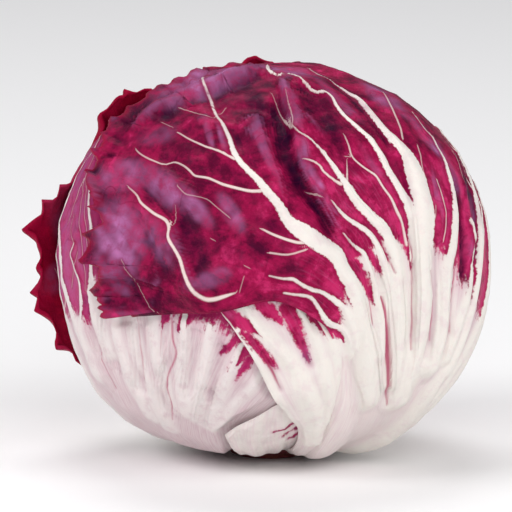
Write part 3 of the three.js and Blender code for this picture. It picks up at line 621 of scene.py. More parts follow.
# The lower lobe of the front leaf, in the same way.
LOBE_TONGUES = [
    [(-12.5, -16, 2.0), (-8, -18.6, 2.3), (-3.8, -21, 1.2), (-1.2, -22.6, .3)],
    [(-7.8, -21.5, 1.0), (-3.5, -25.6, 1.5), (0, -29.6, 1.4), (1.8, -32, .3)],
    [(-3.6, -12.5, 1.6), (.4, -15.6, 2.2), (3.4, -18.6, .8)],
    [(5, -15, 2.6), (7.2, -20, 1.9), (9.6, -25.4, 1.3), (11.8, -30.6, .3)],
    [(11.5, -16.5, 1.6), (14.5, -20, .8), (17, -23.5, .3)],
]
LOBE_FURROWS = [
    [(-2, -27.6, .3), (-.4, -30.6, .5), (1.5, -34, .45), (3.1, -36.9, .2)],
    [(8, -22.5, .3), (9.6, -26.5, .5), (11.4, -30.6, .2)],
]
LOBE_RIBS = [
    [(-8, -12.5, .7), (-2.9, -20.3, 1.0), (3.1, -26.8, 1.5), (8.3, -33.5, 2.2), (12, -43, 3), (13, -51, 3)],
    [(-14.4, -15, .3), (-10, -20.6, .5), (-6, -26.3, .6), (-2, -32.4, .8), (1.4, -39, 1.1), (6, -47, 1.6)],
    [(8, -14, .5), (12, -21, .8), (14.5, -28, 1.3), (16, -36, 1.8), (17, -45, 2.4)],
    [(14, -18, .5), (17, -23, .8), (19.5, -30, 1.3), (20.5, -38, 1.8)],
]
# The left leaf, in the same way.
LEFT_RIBS = [
    [(-50.5, 21.9, .55), (-52.2, 19.6, .6), (-52, 13.8, .6), (-51.6, 8.1, .7), (-52.3, -3.1, .9),
     (-51.9, -7.7, 1), (-50.5, -16, 1.4), (-46, -28, 2)],
    [(-48.5, 35.5, .4), (-53, 28.5, .5), (-56.8, 21.8, .7), (-59.5, 15.5, 1.1), (-61.3, 9, 1.4),
     (-61, 3, 1.6), (-60.5, -5, 1.6), (-59.4, -10, 1.7), (-56, -20, 2), (-49, -33, 2.4)],
    [(-57, 3.8, .35), (-58.3, 1.2, .4), (-58.3, -.4, .4), (-56.9, -3.5, .5), (-55.8, -6.2, .6),
     (-55, -10, .8), (-54.8, -15.4, 1), (-54.6, -21.2, 1), (-53.1, -26.2, 1.2)],
    [(-45, -14, 1.0), (-43.5, -24, 1.4), (-39, -36, 1.7), (-33, -45, 2.0)],
    [(-39.5, -12, .8), (-39.5, -20, 1.0), (-37.8, -30, 1.3), (-33, -40, 1.6), (-28, -48, 2.0)],
    [(-34, -14, .8), (-33.5, -24, 1.1), (-31.5, -34, 1.3), (-27.5, -43, 1.6)],
    [(-24.5, -17, .9), (-25, -26, 1.2), (-25.5, -35, 1.4), (-23, -44, 2.0)],
    [(-17, -20, .8), (-18, -28, 1.0), (-20, -37, 1.4), (-20, -46, 2.0)],
    [(-8, -26, .5), (-11, -33, .8), (-14, -40, 1.2), (-16.5, -48, 1.6)],
    [(-2, -34, .5), (-6, -39, .7), (-11, -43.5, .9), (-14.5, -49, 1.3)],
]
LEFT_VEINS = [
    even(.3, (-54.2, 22.5), (-56.8, 16.8), (-59.4, 9.7)),
    even(.25, (-54.4, 21.4), (-55.4, 14), (-55, 5.1), (-53.9, -3.6), (-53.4, -10)),
    even(.25, (-53.6, 22.4), (-53.8, 16), (-53.4, 8), (-52.9, 0)),
    even(.3, (-50.5, 29.5), (-52.8, 25), (-54.6, 21.2)),
    even(.25, (-57.6, 12), (-58.4, 7), (-57.2, 3.6)),
    even(.25, (-56.3, 1), (-57.4, -4.6), (-57.8, -9)),
]
LEFT_FURROWS = [
    [(-28.5, -18, .3), (-28.3, -24.6, .4), (-27.4, -27.7, .4), (-27.9, -30.8, .4), (-29.6, -34.6, .35),
     (-30, -38.5, .35), (-28.5, -42, .3), (-27.4, -46, .2)],
    [(-53.5, -12.3, .3), (-51.9, -20.8, .35), (-47.7, -30, .3), (-43.8, -37.7, .2)],
    [(-38.6, -16.5, .2), (-38, -24.6, .25), (-36.5, -36, .15)],
    [(-31.7, -22, .15), (-31.9, -29.2, .15)],
]
LEFT_TONGUES = [
    [(-28.6, -13.5, 1.3), (-30.2, -17.4, 1.4), (-31.6, -21, .3)],
    [(-21, -13.5, 2.8), (-24, -17.8, 2.3), (-26.8, -21.6, .6)],
    [(-6.3, -21.2, 1.1), (-10.4, -25, 1.5), (-14, -28.3, .4)],
    [(-4.3, -24.8, .9), (-8.4, -29.2, 1.4), (-11.9, -33, .4)],
    [(-3.2, -27.3, .8), (-6.9, -31.9, 1.3), (-9.8, -36, .3)],
]
LEFT_FOLDS = [
    (-0.9, 1.5, 1.5, [(-17.2, -37), (-18.6, -42), (-19.6, -48)]),
    (-1.6, 2.2, 2.2, [(-38.5, -14), (-38, -24.6), (-36.5, -40)]),
    (-1.6, 2.2, 2.2, [(-28.5, -16), (-27.6, -28), (-29.9, -37), (-27.5, -46)]),
    (-1.5, 2.2, 2.2, [(-46.5, -10), (-47.3, -22), (-43.5, -34)]),
    (-1.2, 2.0, 2.0, [(-53.5, -10), (-51.9, -20.8), (-47.7, -30)]),
    (-1.2, 2.0, 2.0, [(-33, -16), (-32.6, -28), (-32, -38)]),
    (-1.2, 2.0, 2.0, [(-21.5, -18), (-22, -30), (-23, -41)]),
    (-1.1, 1.8, 1.8, [(-12.5, -23), (-15, -33), (-18, -43)]),
]
# Flecks of colour on the leaf base.
STUB_TONGUES = [
    [(9, -47.2, .6), (5, -49.3, .9), (1.4, -49.9, .3)],
    [(9, -50, .8), (4, -52.3, .5)],
    [(9, -51.8, .6), (5.5, -53.6, .4)],
]
# The front leaf's toothed edge, from the lower corner of its flap to the top: x and z.
FRONT_TEETH = np.array([
    (-42, -17.2), (-45.4, -17.5), (-47.9, -17.4), (-47.2, -16.5), (-45.8, -15.4), (-46.6, -14.9),
    (-47.6, -14.4), (-46.5, -13.7), (-45.5, -13.4), (-46.6, -12.5), (-47.1, -11.9), (-46.3, -11),
    (-48.8, -11.1), (-51.4, -9.8), (-49.9, -8.7), (-48.6, -6.6), (-48, -4.6), (-47.6, -3.1),
    (-49.6, -2.5), (-52.2, -2.5), (-54.4, -1.4), (-53, -.3), (-51.8, .9), (-51.1, 2.4), (-50.8, 4.2),
    (-51.6, 5), (-53.6, 6.1), (-51.2, 7.1), (-49.6, 7.8), (-48.6, 8.6), (-47.8, 9.4), (-48.7, 10.9),
    (-49.1, 12.2), (-50.2, 13), (-51.3, 13.9), (-50, 14.4), (-49.2, 15.4), (-49.5, 17), (-49.3, 18.7),
    (-50, 20), (-50.4, 21.3), (-50.1, 22.7), (-51.7, 23.6), (-50.4, 24.3), (-49.6, 25.2), (-49.2, 27.6),
    (-50.2, 28.9), (-51.8, 30.9), (-50.2, 31), (-48.9, 31.8), (-48.2, 34), (-48.5, 35.6),
    (-46.8, 36.2), (-45.6, 37.5), (-44.8, 39), (-43.4, 38.9), (-41.6, 39.2), (-40.2, 40.2), (-39.7, 42),
    (-38, 42.6), (-36.1, 44.3), (-35, 44.9), (-34.9, 46.6), (-33.5, 48.1), (-32.6, 50.2),
    (-31, 49.9), (-29.4, 49.7), (-28, 51.4), (-25.8, 51.6), (-24, 51.4), (-22.4, 53.4),
    (-20, 55), (-15, 62), (4, 62), (60, 60), (60, -60), (20, -60), (-13, -23), (-40, -23), (-41.5, -18.6),
])
# How far the back leaf's edge stands from the middle, seen from the front, all along the left: x, z.
STANDING_EDGE = np.array([
    (-49, -36), (-52.4, -32), (-55.4, -30), (-56.4, -27.4), (-58.2, -26.5), (-60.9, -27.1),
    (-61.4, -25), (-60.7, -22.3), (-61.6, -19.4), (-62.4, -17.8), (-64.4, -16.8), (-67.2, -15.8),
    (-66.4, -13.4), (-66.0, -11.3), (-68.4, -10.3), (-66, -8.2), (-65.2, -6.3), (-64.7, -4.2),
    (-66.6, -3.3), (-65.3, -1), (-64.8, 1.2), (-65.9, 3.6), (-66.6, 5.8), (-70.5, 7.5), (-67.6, 9.9),
    (-64.2, 12.2), (-64.8, 16.5), (-61.8, 15.9), (-60, 17.2), (-59.6, 20.8), (-57.2, 20.4),
    (-54.5, 22.5), (-51, 29), (-48, 34.5), (-47.2, 37), (-48.6, 40.4), (-46, 42),
    (-44.2, 43.8), (-42.6, 45.6), (-41.2, 47.5), (-39.9, 46), (-38, 46.5), (-35.5, 47.7), (-33, 47.7),
    (-31.5, 46.2), (-25, 46), (-18, 48), (-10, 51), (-7.8, 53.6), (-6.6, 56.2), (-5, 57),
    (-3.8, 58), (-1.5, 57.4), (3, 56.6), (7, 55.8), (11, 55), (14, 52), (18, 48),
])


# ---- surfaces ----------------------------------------------------------------------------------------
def facing(points):
    """Unit normals of a grid, turned away from the middle."""
    normal = np.cross(np.gradient(points, axis=0), np.gradient(points, axis=1))
    normal = normal / np.maximum(np.linalg.norm(normal, axis=-1, keepdims=True), 1e-9)
    turned = np.sign(np.sum(normal * points, axis=-1, keepdims=True))
    return normal * np.where(turned == 0, 1, turned)


def run_length(points, axis):
    """Length walked along the grid's rows or columns from their start."""
    steps = np.linalg.norm(np.diff(points, axis=axis), axis=-1)
    lead = [(0, 0), (0, 0)]
    lead[axis] = (1, 0)
    return np.pad(np.cumsum(steps, axis=axis), lead)


class Leaf:
    """The grid of one leaf: across its fan of lines, and from its base, t = 0, to its edge, t = 1."""

    def __init__(self, name, net, across, rows, reach=None):
        self.level = LEVEL[name]
        self.net = net
        self.line = np.asarray(across, dtype=float)
        share = np.linspace(0, 1, rows)
        t = np.broadcast_to(share, (len(self.line), rows))
        if reach is not None:
            t = t * (1 + (reach(self)[:, None] - 1) * smooth((t - 0.8) / 0.2))
        lines = spline_weights(net.shape[0], self.line)
        steps = spline_weights(net.shape[1], (t * (net.shape[1] - 1)).ravel())
        by_line = np.einsum("ai,ijk->ajk", lines, net)
        steps = steps.reshape(len(self.line), rows, -1)
        self.n = unit(np.einsum("abj,ajk->abk", steps, by_line, optimize=True))
        self.t = np.broadcast_to(share, t.shape)
        self.k = np.broadcast_to(self.line[:, None], t.shape)
        self.places = self.n * form_radius(self.n)[..., None]
        self.under = self.n * underside_radius(self.n, self.level)[..., None]
        self.open = 1 - covered(self.n, self.level)
        self.across = run_length(self.places, 0)
        self.along = run_length(self.places, 1)
        self.to_end = self.along[:, -1:] - self.along
        self.rim = np.minimum(np.minimum(self.across, self.across[-1:] - self.across), self.to_end)
        self.x, self.z = on_front(self.places)

    def drawn(self, lines, more=(), **how):
        """What lines of front points, and more lines in space, give at each vertex."""
        return Lines(self.places, [traced(points) for points in lines] + list(more), **how)

    def flesh(self, ribs, base=1.9, least=0.35, edge=0.4, taper=2.5):
        """Thickness: the blade, a thick base, and the ribs where the leaf is in sight.

        It is nowhere under the least, and at the rim it thins over the taper to the share edge.
        """
        at_base = base * (1 - smooth((self.t - 0.05) / 0.4)) * (0.35 + 0.65 * self.open)
        thickness = np.maximum(BLADE + at_base + ribs * self.open * smooth(self.t / 0.1), least)
        return thickness * (edge + (1 - edge) * smooth(self.rim / taper))

    def raised(self, thickness, lift, stride):
        """Outer and inner faces: the underside lifted along n, with the thickness along its normal.

        Each place of the inner face is only as high as the lowest one within a stride of it, so that
        the coarser inner face nowhere cuts through a fold.
        """
        outer = self.under + self.n * lift[..., None] + facing(self.under) * thickness[..., None]
        lowest = lift
        for axis in (0, 1):
            reach = [(stride, stride) if k == axis else (0, 0) for k in (0, 1)]
            padded = np.pad(lowest, reach, mode="edge")
            size = lowest.shape[axis]
            lowest = np.min([padded.take(np.arange(k, k + size), axis) for k in range(2 * stride + 1)], 0)
        return outer, self.under + self.n * lowest[..., None]


def folds(places, drawn):
    """Height of folds: each its height times a bell of the distance from its line.

    The bell has one reach on the right-hand side of the way the line is drawn, seen from outside, and
    another on its left. A fold rises and sinks over the first and last sixth of its line.
    """
    total = np.zeros(places.shape[:-1])
    for height, right, left, points in drawn:
        line, widths = traced([(x, z, 0.3) for x, z in points], 6)
        away, beside, _, along = nearest_on(places.reshape(-1, 3), line, widths, 14)
        reach = left + (right - left) * smooth(0.5 + 0.5 * beside / 0.8)
        ends = smooth(along * 6) * smooth((1 - along) * 6)
        total = total + (height * ends * bell(away / reach)).reshape(total.shape)
    return total


def patches(x, z, drawn):
    """Soft patches on the front, the strongest at each place: each x, z, half length, half width, the
    turn of its long way from level in degrees, and strength."""
    most = np.zeros(x.shape)
    for place_x, place_z, half_length, half_width, turn, strength in drawn:
        turn = math.radians(turn)
        long_way = (x - place_x) * math.cos(turn) + (z - place_z) * math.sin(turn)
        cross_way = (z - place_z) * math.cos(turn) - (x - place_x) * math.sin(turn)
        out = (long_way / half_length) ** 2 + (cross_way / half_width) ** 2
        most = np.maximum(most, strength * np.exp(-0.5 * out**2.2))
    return most


def grid_faces(index):
    """Quads between the neighbours in a grid of vertex numbers."""
    return np.stack([index[:-1, :-1], index[1:, :-1], index[1:, 1:], index[:-1, 1:]], -1).reshape(-1, 4)


def once_round(index):
    """The vertex numbers round the edge of a grid, once round and back to the first."""
    return np.concatenate([index[:-1, 0], index[-1, :-1], index[:0:-1, -1], index[0, ::-1]])


def closed_shell(outer, inner, stride):
    """Vertices, quads and triangles of a leaf: its outer face, every stride-th place of its inner
    face, and between their edges a rim, in which each inner vertex fans out to stride outer ones."""
    coarse = inner[::stride, ::stride]
    verts = np.concatenate([outer.reshape(-1, 3), coarse.reshape(-1, 3)])
    out_index = np.arange(outer.size // 3).reshape(outer.shape[:2])
    in_index = out_index.size + np.arange(coarse.size // 3).reshape(coarse.shape[:2])
    quads = np.concatenate([grid_faces(out_index), grid_faces(in_index)[:, ::-1]])
    rim_out, rim_in = once_round(out_index), once_round(in_index)
    spans = len(rim_in) - 1
    step = np.arange(spans)[:, None] * stride + np.arange(stride)[None, :]
    half = (stride + 1) // 2
    apex = np.where(np.arange(stride)[None, :] < half, rim_in[:-1, None], rim_in[1:, None])
    fans = np.stack([rim_out[step + 1], rim_out[step], apex], -1).reshape(-1, 3)
    joins = np.stack([rim_out[np.arange(spans) * stride + half], rim_in[:-1], rim_in[1:]], -1)
    return verts, quads, np.concatenate([fans, joins])


def make_piece(name, node, material, verts, quads, tris, values=(), uv=None):
    """A piece of the head from millimetres measured from the middle, ready for the frame."""
    mesh = bpy.data.meshes.new(name)
    verts = (verts + MIDDLE) * MM
    mesh.vertices.add(len(verts))
    mesh.vertices.foreach_set("co", verts.ravel())
    corners = np.concatenate([quads.ravel(), tris.ravel()]).astype(np.int32)
    sides = np.concatenate([np.full(len(quads), 4), np.full(len(tris), 3)])
    mesh.loops.add(len(corners))
    mesh.loops.foreach_set("vertex_index", corners)
    mesh.polygons.add(len(sides))
    mesh.polygons.foreach_set("loop_start", (np.cumsum(sides) - sides).astype(np.int32))
    mesh.polygons.foreach_set("use_smooth", np.ones(len(sides), dtype=bool))
    mesh.update(calc_edges=True)
    for title, field in dict(values).items():
        mesh.attributes.new(title, "FLOAT", "POINT").data.foreach_set("value", field.astype(np.float32))
    if uv is not None:
        mesh.uv_layers.new(name="leaf").data.foreach_set("uv", uv[corners].ravel())
    mesh.validate()
    piece = bpy.data.objects.new(name, mesh)
    bpy.context.scene.collection.objects.link(piece)
    piece.data.materials.append(material)
    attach(piece, "root")
    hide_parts(node)


def make_leaf(name, node, material, leaf, thickness, lift, values, stride=4):
    """A leaf as a closed shell, with the values of its outer face carried to its inner face.

    Its UV map measures the leaf across and along in tenths of a metre.
    """
    verts, quads, tris = closed_shell(*leaf.raised(thickness, lift, stride), stride)
    # Which way the faces turn depends on the fan's own direction, so it is read off the outer face.
    columns, rows = leaf.t.shape
    a, b, c = (verts[quads[:(columns - 1) * (rows - 1), i]] for i in range(3))
    if np.sum(np.cross(b - a, c - b) * a) < 0:
        quads, tris = quads[:, ::-1], tris[:, ::-1]
    width = leaf.across[-1, rows // 2]
    across = leaf.k / (leaf.net.shape[0] - 1) * width / UV_UNIT

    def both(field):
        return np.concatenate([field.ravel(), field[::stride, ::stride].ravel()])

    uv = np.stack([both(across), both(leaf.along / UV_UNIT)], -1)
    values = {title: both(field) for title, field in values.items()}
    make_piece(name, node, material, verts, quads, tris, values, uv)


def make_round(name, node, material, points, values=(), uv=None):
    """A closed body from columns of points that all run from one pole to the other."""
    def by_vertex(field):
        return np.concatenate([field[:, 1:-1].reshape(-1, *field.shape[2:]), field[:1, 0], field[:1, -1]])

    columns, rows = points.shape[0], points.shape[1] - 2
    index = np.arange(columns * rows).reshape(columns, rows)
    index = np.concatenate([index, index[:1]])
    pole = np.full(columns, columns * rows)
    low = np.stack([pole, index[1:, 0], index[:-1, 0]], -1)
    high = np.stack([pole + 1, index[:-1, -1], index[1:, -1]], -1)
    values = {title: by_vertex(field) for title, field in dict(values).items()}
    make_piece(name, node, material, by_vertex(points), grid_faces(index),
               np.concatenate([low, high]), values, None if uv is None else by_vertex(uv))


def fan_ribs(net, lines, seed, widest, ends=0.93):
    """Ribs that follow a fan's lines with a slow wander, and side veins that leave them in turn."""
    rng = np.random.default_rng(seed)
    steps = net.shape[1] - 1
    ribs, veins = [], []
    for order, line in enumerate(lines):
        share = np.linspace(0.04, ends * rng.uniform(0.88, 1), 9)
        wander = np.cumsum(rng.normal(0, 0.045, 9)) * smooth(share / 0.5)
        width = widest * rng.uniform(0.75, 1.1) * (1 - share / share[-1]) ** 0.8 + 0.25
        ribs.append(grown(net, np.stack([line + wander, share * steps, width], -1)))
        for leave in np.arange(0.4 + 0.1 * rng.random(), ends - 0.1, 0.11):
            way = 1 if (order + int(leave * 12)) % 2 else -1
            reach = rng.uniform(0.35, 0.8)
            run = np.linspace(0, 1, 5)
            at = np.minimum(leave + 0.17 * run, 0.97)
            offset = way * reach * run**0.8 + rng.normal(0, 0.03, 5) * run
            start = np.interp(leave, share, wander)
            thin = (0.45 - 0.3 * run) * rng.uniform(0.8, 1.15)
            veins.append(grown(net, np.stack([line + start + offset, at * steps, thin], -1)))
    return ribs, veins


def averaged(field, mm_across, mm_along, reach=5.0):
    """A field over a grid, averaged over a rounded patch of about the reach each way."""
    for axis, spacing in ((0, mm_across), (1, mm_along)):
        cells = max(1, round(reach / spacing))
        hump = np.hanning(2 * cells + 3)[1:-1]
        padded = np.pad(field, [(cells, cells) if k == axis else (0, 0) for k in (0, 1)], mode="edge")
        field = np.apply_along_axis(np.convolve, axis, padded, hump / hump.sum(), "valid")
    return field


def skin_values(leaf, height, ribs, veins, furrow, colour, tone, **more):
    """The values that the leaf skins read. Shade is painted into the hollows of the height, and a lilac
    sheen, a painted highlight, on its crests and, where no patches are given, in slow random patches."""
    columns, rows = leaf.t.shape
    spacing = leaf.across[-1].mean() / (columns - 1), leaf.along[:, -1].mean() / (rows - 1)
    hollow = averaged(height, *spacing) - height
    swell = waves(leaf.places, 17, 60 + leaf.level, 2)
    # Painted sheen (lilac highlight) and painted shade: the given patches, or slow random sheen patches.
    sheen_patches, painted_shade = more.get("bloom", 0.4 * smooth((swell - 0.12) / 0.5)), more.get("shade", 0)
    # Painted highlight on the crests of the height, away from the ribs.
    crest_highlight = 0.4 * smooth((-hollow - 0.2) / 0.8) * smooth(ribs.edge / 1.5)
    return {
        "rib": ribs.edge,
        "rib_width": ribs.wide,
        "vein_side": veins.side,
        "vein_near": veins.near,
        "vein_width": veins.width,
        "furrow": furrow,
        "colour": colour,
        "tone": tone,
        "bloom": np.maximum(sheen_patches, crest_highlight),
        "shade": np.maximum(painted_shade, 0.9 * smooth((hollow - 0.1) / 0.9)),
        "margin": more.get("margin", smooth(1 - leaf.to_end / 4) * leaf.open),
    }


# ---- materials ---------------------------------------------------------------------------------------
def linear(code):
    """An sRGB hex colour as linear red, green, blue and 1."""
    parts = [int(code[i:i + 2], 16) / 255 for i in (1, 3, 5)]
    return [c / 12.92 if c <= 0.04045 else ((c + 0.055) / 1.055) ** 2.4 for c in parts] + [1]


def add(tree, kind, inputs=(), out=0, **settings):
    """Adds a node with its settings. Its inputs are given in order, or by number or name, and each is
    a value or the socket that feeds it. Gives back the output named or numbered out."""
    node = tree.nodes.new(kind)
    for key, value in settings.items():
        setattr(node, key, value)
    for key, value in inputs.items() if isinstance(inputs, dict) else enumerate(inputs):
        if isinstance(value, bpy.types.NodeSocket):
            tree.links.new(value, node.inputs[key])
        else:
            node.inputs[key].default_value = value
    return node.outputs[out] if len(node.outputs) else node


def new_material(name):
    """An empty node material and its tree."""
    material = bpy.data.materials.new(name)
    material.use_nodes = True
    material.node_tree.nodes.clear()
    return material, material.node_tree


# A range node takes a value, the two ends it comes between, and the two ends it is carried to.
ATTRIBUTE, MATHS, MIX = "ShaderNodeAttribute", "ShaderNodeMath", "ShaderNodeMix"
NOISE, RANGE, MAPPING = "ShaderNodeTexNoise", "ShaderNodeMapRange", "ShaderNodeMapping"
SHADER, BUMP, OUTPUT = "ShaderNodeBsdfPrincipled", "ShaderNodeBump", "ShaderNodeOutputMaterial"
SOFT = {"interpolation_type": "SMOOTHSTEP"}
COLOURS = {"data_type": "RGBA", "out": 2}
PLACES = {"data_type": "VECTOR", "out": 1}
TIMES, TIMES_PLUS, LESS = ({"operation": word} for word in ("MULTIPLY", "MULTIPLY_ADD", "SUBTRACT"))
LARGER, SIZE_OF = {"operation": "MAXIMUM"}, {"operation": "ABSOLUTE"}


def leaf_skin(name, magenta, wine, dark, flesh_white="#E9E3DC", blush="#DBC0C8"):
    """Radicchio leaf: a thin waxy skin over wet flesh.

    White flesh at the base and along the ribs, anthocyanin in the skin between them: crisp white lines on
    wine-red panels, with a lilac sheen painted on as highlight and shade painted into hollows and creases.
    """
    material, tree = new_material(name)
    rib, rib_width, vein_side, vein_near, vein_width, furrow, colour, tone, bloom, shade, margin = (
        add(tree, ATTRIBUTE, out="Fac", attribute_name=title)
        for title in ("rib", "rib_width", "vein_side", "vein_near", "vein_width", "furrow", "colour",
                      "tone", "bloom", "shade", "margin"))
    spot = add(tree, "ShaderNodeTexCoord", out="Object")
    laid = add(tree, "ShaderNodeUVMap", uv_map="leaf")
    # Streaks run with the leaf: 2 mm wide and 22 mm long, and finer ones 0.8 mm by 9 mm.
    long_way = add(tree, MAPPING, {"Vector": laid, "Scale": (50, 4.5, 1)})
    fine_way = add(tree, MAPPING, {"Vector": laid, "Scale": (125, 11, 1)})
    streak = add(tree, NOISE, {"Vector": long_way, "Scale": 1.0, "Detail": 2.0})
    fine_streak = add(tree, NOISE, {"Vector": fine_way, "Scale": 1.0, "Detail": 3.0})
    # Clouds 20 mm across, mottles of 4 mm that break up into specks, and grains of 1 mm.
    cloud = add(tree, NOISE, {"Vector": spot, "Scale": 50.0, "Detail": 3.0})
    mottle = add(tree, NOISE, {"Vector": spot, "Scale": 240.0, "Detail": 6.0, "Roughness": 0.68})
    grain = add(tree, NOISE, {"Vector": spot, "Scale": 900.0, "Detail": 2.0})

    # The net of small veins: cells about 5 mm across, bent by a slow noise.
    bend = add(tree, NOISE, {"Vector": spot, "Scale": 90.0, "Detail": 1.0}, out="Color")
    bent = add(tree, MIX, {"Factor": 0.006, 4: spot, 5: bend}, **PLACES)
    net = add(tree, "ShaderNodeTexVoronoi", {"Vector": bent, "Scale": 210.0}, feature="DISTANCE_TO_EDGE")
    net = add(tree, RANGE, (net, 0.0, 0.06, 1.0, 0.0), **SOFT)
    net = add(tree, MATHS, (net, 0.12), **TIMES)
    # Soft facets of the crinkled blade, 7 mm across: each is painted a little lighter or darker, as painted
    # light, carries more or less of the painted sheen, and dents the bump.
    bent = add(tree, MIX, {"Factor": 0.012, 4: spot, 5: bend}, **PLACES)
    facet = add(tree, NOISE, {"Vector": bent, "Scale": 150.0, "Detail": 0.0})
    facet = add(tree, RANGE, (facet, 0.3, 0.7), **SOFT)
    # Fine creases wander over the blade about 20 mm apart; shade is painted dark into them, and the painted
    # sheen breaks at them.
    crease = add(tree, NOISE, {"Vector": bent, "Scale": 48.0, "Detail": 1.0})
    crease = add(tree, MATHS, (crease, 0.5), **LESS)
    crease = add(tree, MATHS, (crease,), **SIZE_OF)
    crease = add(tree, RANGE, (crease, 0.0, 0.014, 1.0, 0.0), **SOFT)
    crease_shade = add(tree, MATHS, (crease, 0.2), **TIMES)

    # Between the ribs the skin is magenta near the base and wine further up, and uneven all over.
    uneven = add(tree, MATHS, (cloud, 1.0, tone), **TIMES_PLUS)
    uneven = add(tree, MATHS, (mottle, 2.3, uneven), **TIMES_PLUS)
    uneven = add(tree, MATHS, (facet, 0.3, uneven), **TIMES_PLUS)
    uneven = add(tree, MATHS, (uneven, 1.05), **LESS)
    to_wine = add(tree, RANGE, (uneven, 0.72, 1.2), **SOFT)
    to_dark = add(tree, RANGE, (uneven, 1.1, 1.8, 0.0, 0.85), **SOFT)
    # Pale fibres run along the panels near the base.
    low_down = add(tree, RANGE, (tone, 0.15, 0.5, 1.0, 0.0), **SOFT)
    fibres = add(tree, RANGE, (fine_streak, 0.42, 0.8, 0.0, 0.28), **SOFT)
    fibres = add(tree, MATHS, (fibres, low_down), **TIMES)
    # Painted shade: the hollows are painted darkest.
    painted_shade = add(tree, MATHS, (mottle, 0.7, 0.6), **TIMES_PLUS)
    painted_shade = add(tree, MATHS, (painted_shade, shade), use_clamp=True, **TIMES)
    # Painted sheen, a lilac highlight: strongest on the crests, broken in small spots and at the creases.
    painted_sheen_mix = add(tree, MATHS, (cloud, 1.6, -0.3), **TIMES_PLUS)
    painted_sheen_mix = add(tree, MATHS, (facet, 0.45, painted_sheen_mix), **TIMES_PLUS)
    painted_sheen_mix = add(tree, MATHS, (crease, -0.25, painted_sheen_mix), **TIMES_PLUS)
    painted_sheen_mix = add(tree, MATHS, (painted_sheen_mix, bloom), **TIMES)
    sheen_breaks = add(tree, RANGE, (mottle, 0.3, 0.55, 0.35, 0.85), **SOFT)
    painted_sheen_mix = add(tree, MATHS, (painted_sheen_mix, sheen_breaks), use_clamp=True, **TIMES)
    edge = add(tree, MATHS, (margin, 0.75), **TIMES)
    # The skin is deep crimson just beside the ribs and veins.
    beside_rib = add(tree, RANGE, (rib, 0.1, 1.3, 0.55, 0.0), **SOFT)
    beside_vein = add(tree, RANGE, (vein_near, 0.4, 1.3, 0.4, 0.0), **SOFT)
    beside = add(tree, MATHS, (beside_rib, beside_vein), **LARGER)
    panel = linear(magenta)
    # Of these, the crease, shade and sheen colours are painted shade and painted highlight; the rest are the
    # skin's own.
    for share, hue in ((to_wine, wine), (to_dark, dark), (fibres, "#C86496"), (crease_shade, "#4A0424"),
                       (painted_shade, "#2C0424"), (painted_sheen_mix, "#BE74AC"), (net, "#8E1248"), (edge, "#9C0C34"),
                       (beside, "#84083A")):
        panel = add(tree, MIX, {0: share, 6: panel, 7: linear(hue)}, **COLOURS)

    # Flesh: white on the ribs, with a faint blush in streaks between them, partly the flesh's own pink and
    # partly painted shade between the ribs, and pinker near the panels.
    between = add(tree, RANGE, (rib, -0.6, 2.2), **SOFT)
    flush = add(tree, RANGE, (fine_streak, 0.35, 0.75, 0.25, 0.65), **SOFT)
    flush = add(tree, MATHS, (between, flush), **TIMES)
    marks = add(tree, RANGE, (mottle, 0.46, 0.7, 0.0, 0.35), **SOFT)
    flush = add(tree, MATHS, (flush, marks), **LARGER)
    near_panel = add(tree, RANGE, (colour, -9.0, 0.0, 0.0, 0.3), **SOFT)
    near_panel = add(tree, MATHS, (near_panel, between), **TIMES)
    # Painted shade: the white flesh is painted greyer in the hollows.
    groove_shade = add(tree, MATHS, (shade, 0.6), **TIMES)
    white = linear(flesh_white)
    for share, hue in ((flush, blush), (near_panel, "#CC8CA8"), (groove_shade, "#B692A0")):
        white = add(tree, MIX, {0: share, 6: white, 7: linear(hue)}, **COLOURS)

    # Colour comes down between the ribs in tongues that end in feathers and specks.
    reach = add(tree, MATHS, (streak, 8.0, -17.0), **TIMES_PLUS)
    for pattern, strength in ((fine_streak, 7.0), (mottle, 10.0), (grain, 9.0), (colour, 1.0)):
        reach = add(tree, MATHS, (pattern, strength, reach), **TIMES_PLUS)
    taken = add(tree, RANGE, (reach, -2.6, 2.2), **SOFT)
    # Ribs stay clear of it, with an edge that is the rougher the wider the rib is.
    rough_edge = add(tree, RANGE, (rib_width, 0.15, 1.5, 0.15, 1.1), **SOFT)
    speck = add(tree, MATHS, (grain, 0.5), **LESS)
    past_rib = add(tree, MATHS, (speck, rough_edge, rib), **TIMES_PLUS)
    on_rib = add(tree, RANGE, (past_rib, -0.25, 0.12, 1.0, 0.0), **SOFT)
    broad = add(tree, RANGE, (rib_width, 0.15, 0.8, 0.62, 1.0), **SOFT)
    off_rib = add(tree, MATHS, (on_rib, broad), **TIMES)
    off_rib = add(tree, MATHS, (1.0, off_rib), **LESS)
    taken = add(tree, MATHS, (taken, off_rib), **TIMES)
    # Veins are thin lines on the skin, fainter where they are finer.
    past = add(tree, MATHS, (vein_near, vein_width), **LESS)
    near_line = add(tree, RANGE, (past, 0.12, 0.5, 1.0, 0.0), **SOFT)
    apart = add(tree, MATHS, (vein_side,), **SIZE_OF)
    apart = add(tree, MATHS, (apart, vein_width), operation="DIVIDE")
    clear = add(tree, RANGE, (vein_width, 0.12, 0.55, 0.22, 0.95), **SOFT)
    on_vein = add(tree, RANGE, (apart, 0.35, 1.05, 1.0, 0.0), **SOFT)
    for limit in (near_line, clear, off_rib):
        on_vein = add(tree, MATHS, (on_vein, limit), **TIMES)
    # Furrows between the ribs are stained red.
    stained = add(tree, MATHS, (fine_streak, 0.9, furrow), **TIMES_PLUS)
    stained = add(tree, RANGE, (stained, -0.1, 0.7, 0.85, 0.0), **SOFT)
    shown = add(tree, MIX, {0: taken, 6: white, 7: panel}, **COLOURS)
    for share, hue in ((stained, "#B0305F"), (on_vein, "#E8D6D0")):
        shown = add(tree, MIX, {0: share, 6: shown, 7: linear(hue)}, **COLOURS)

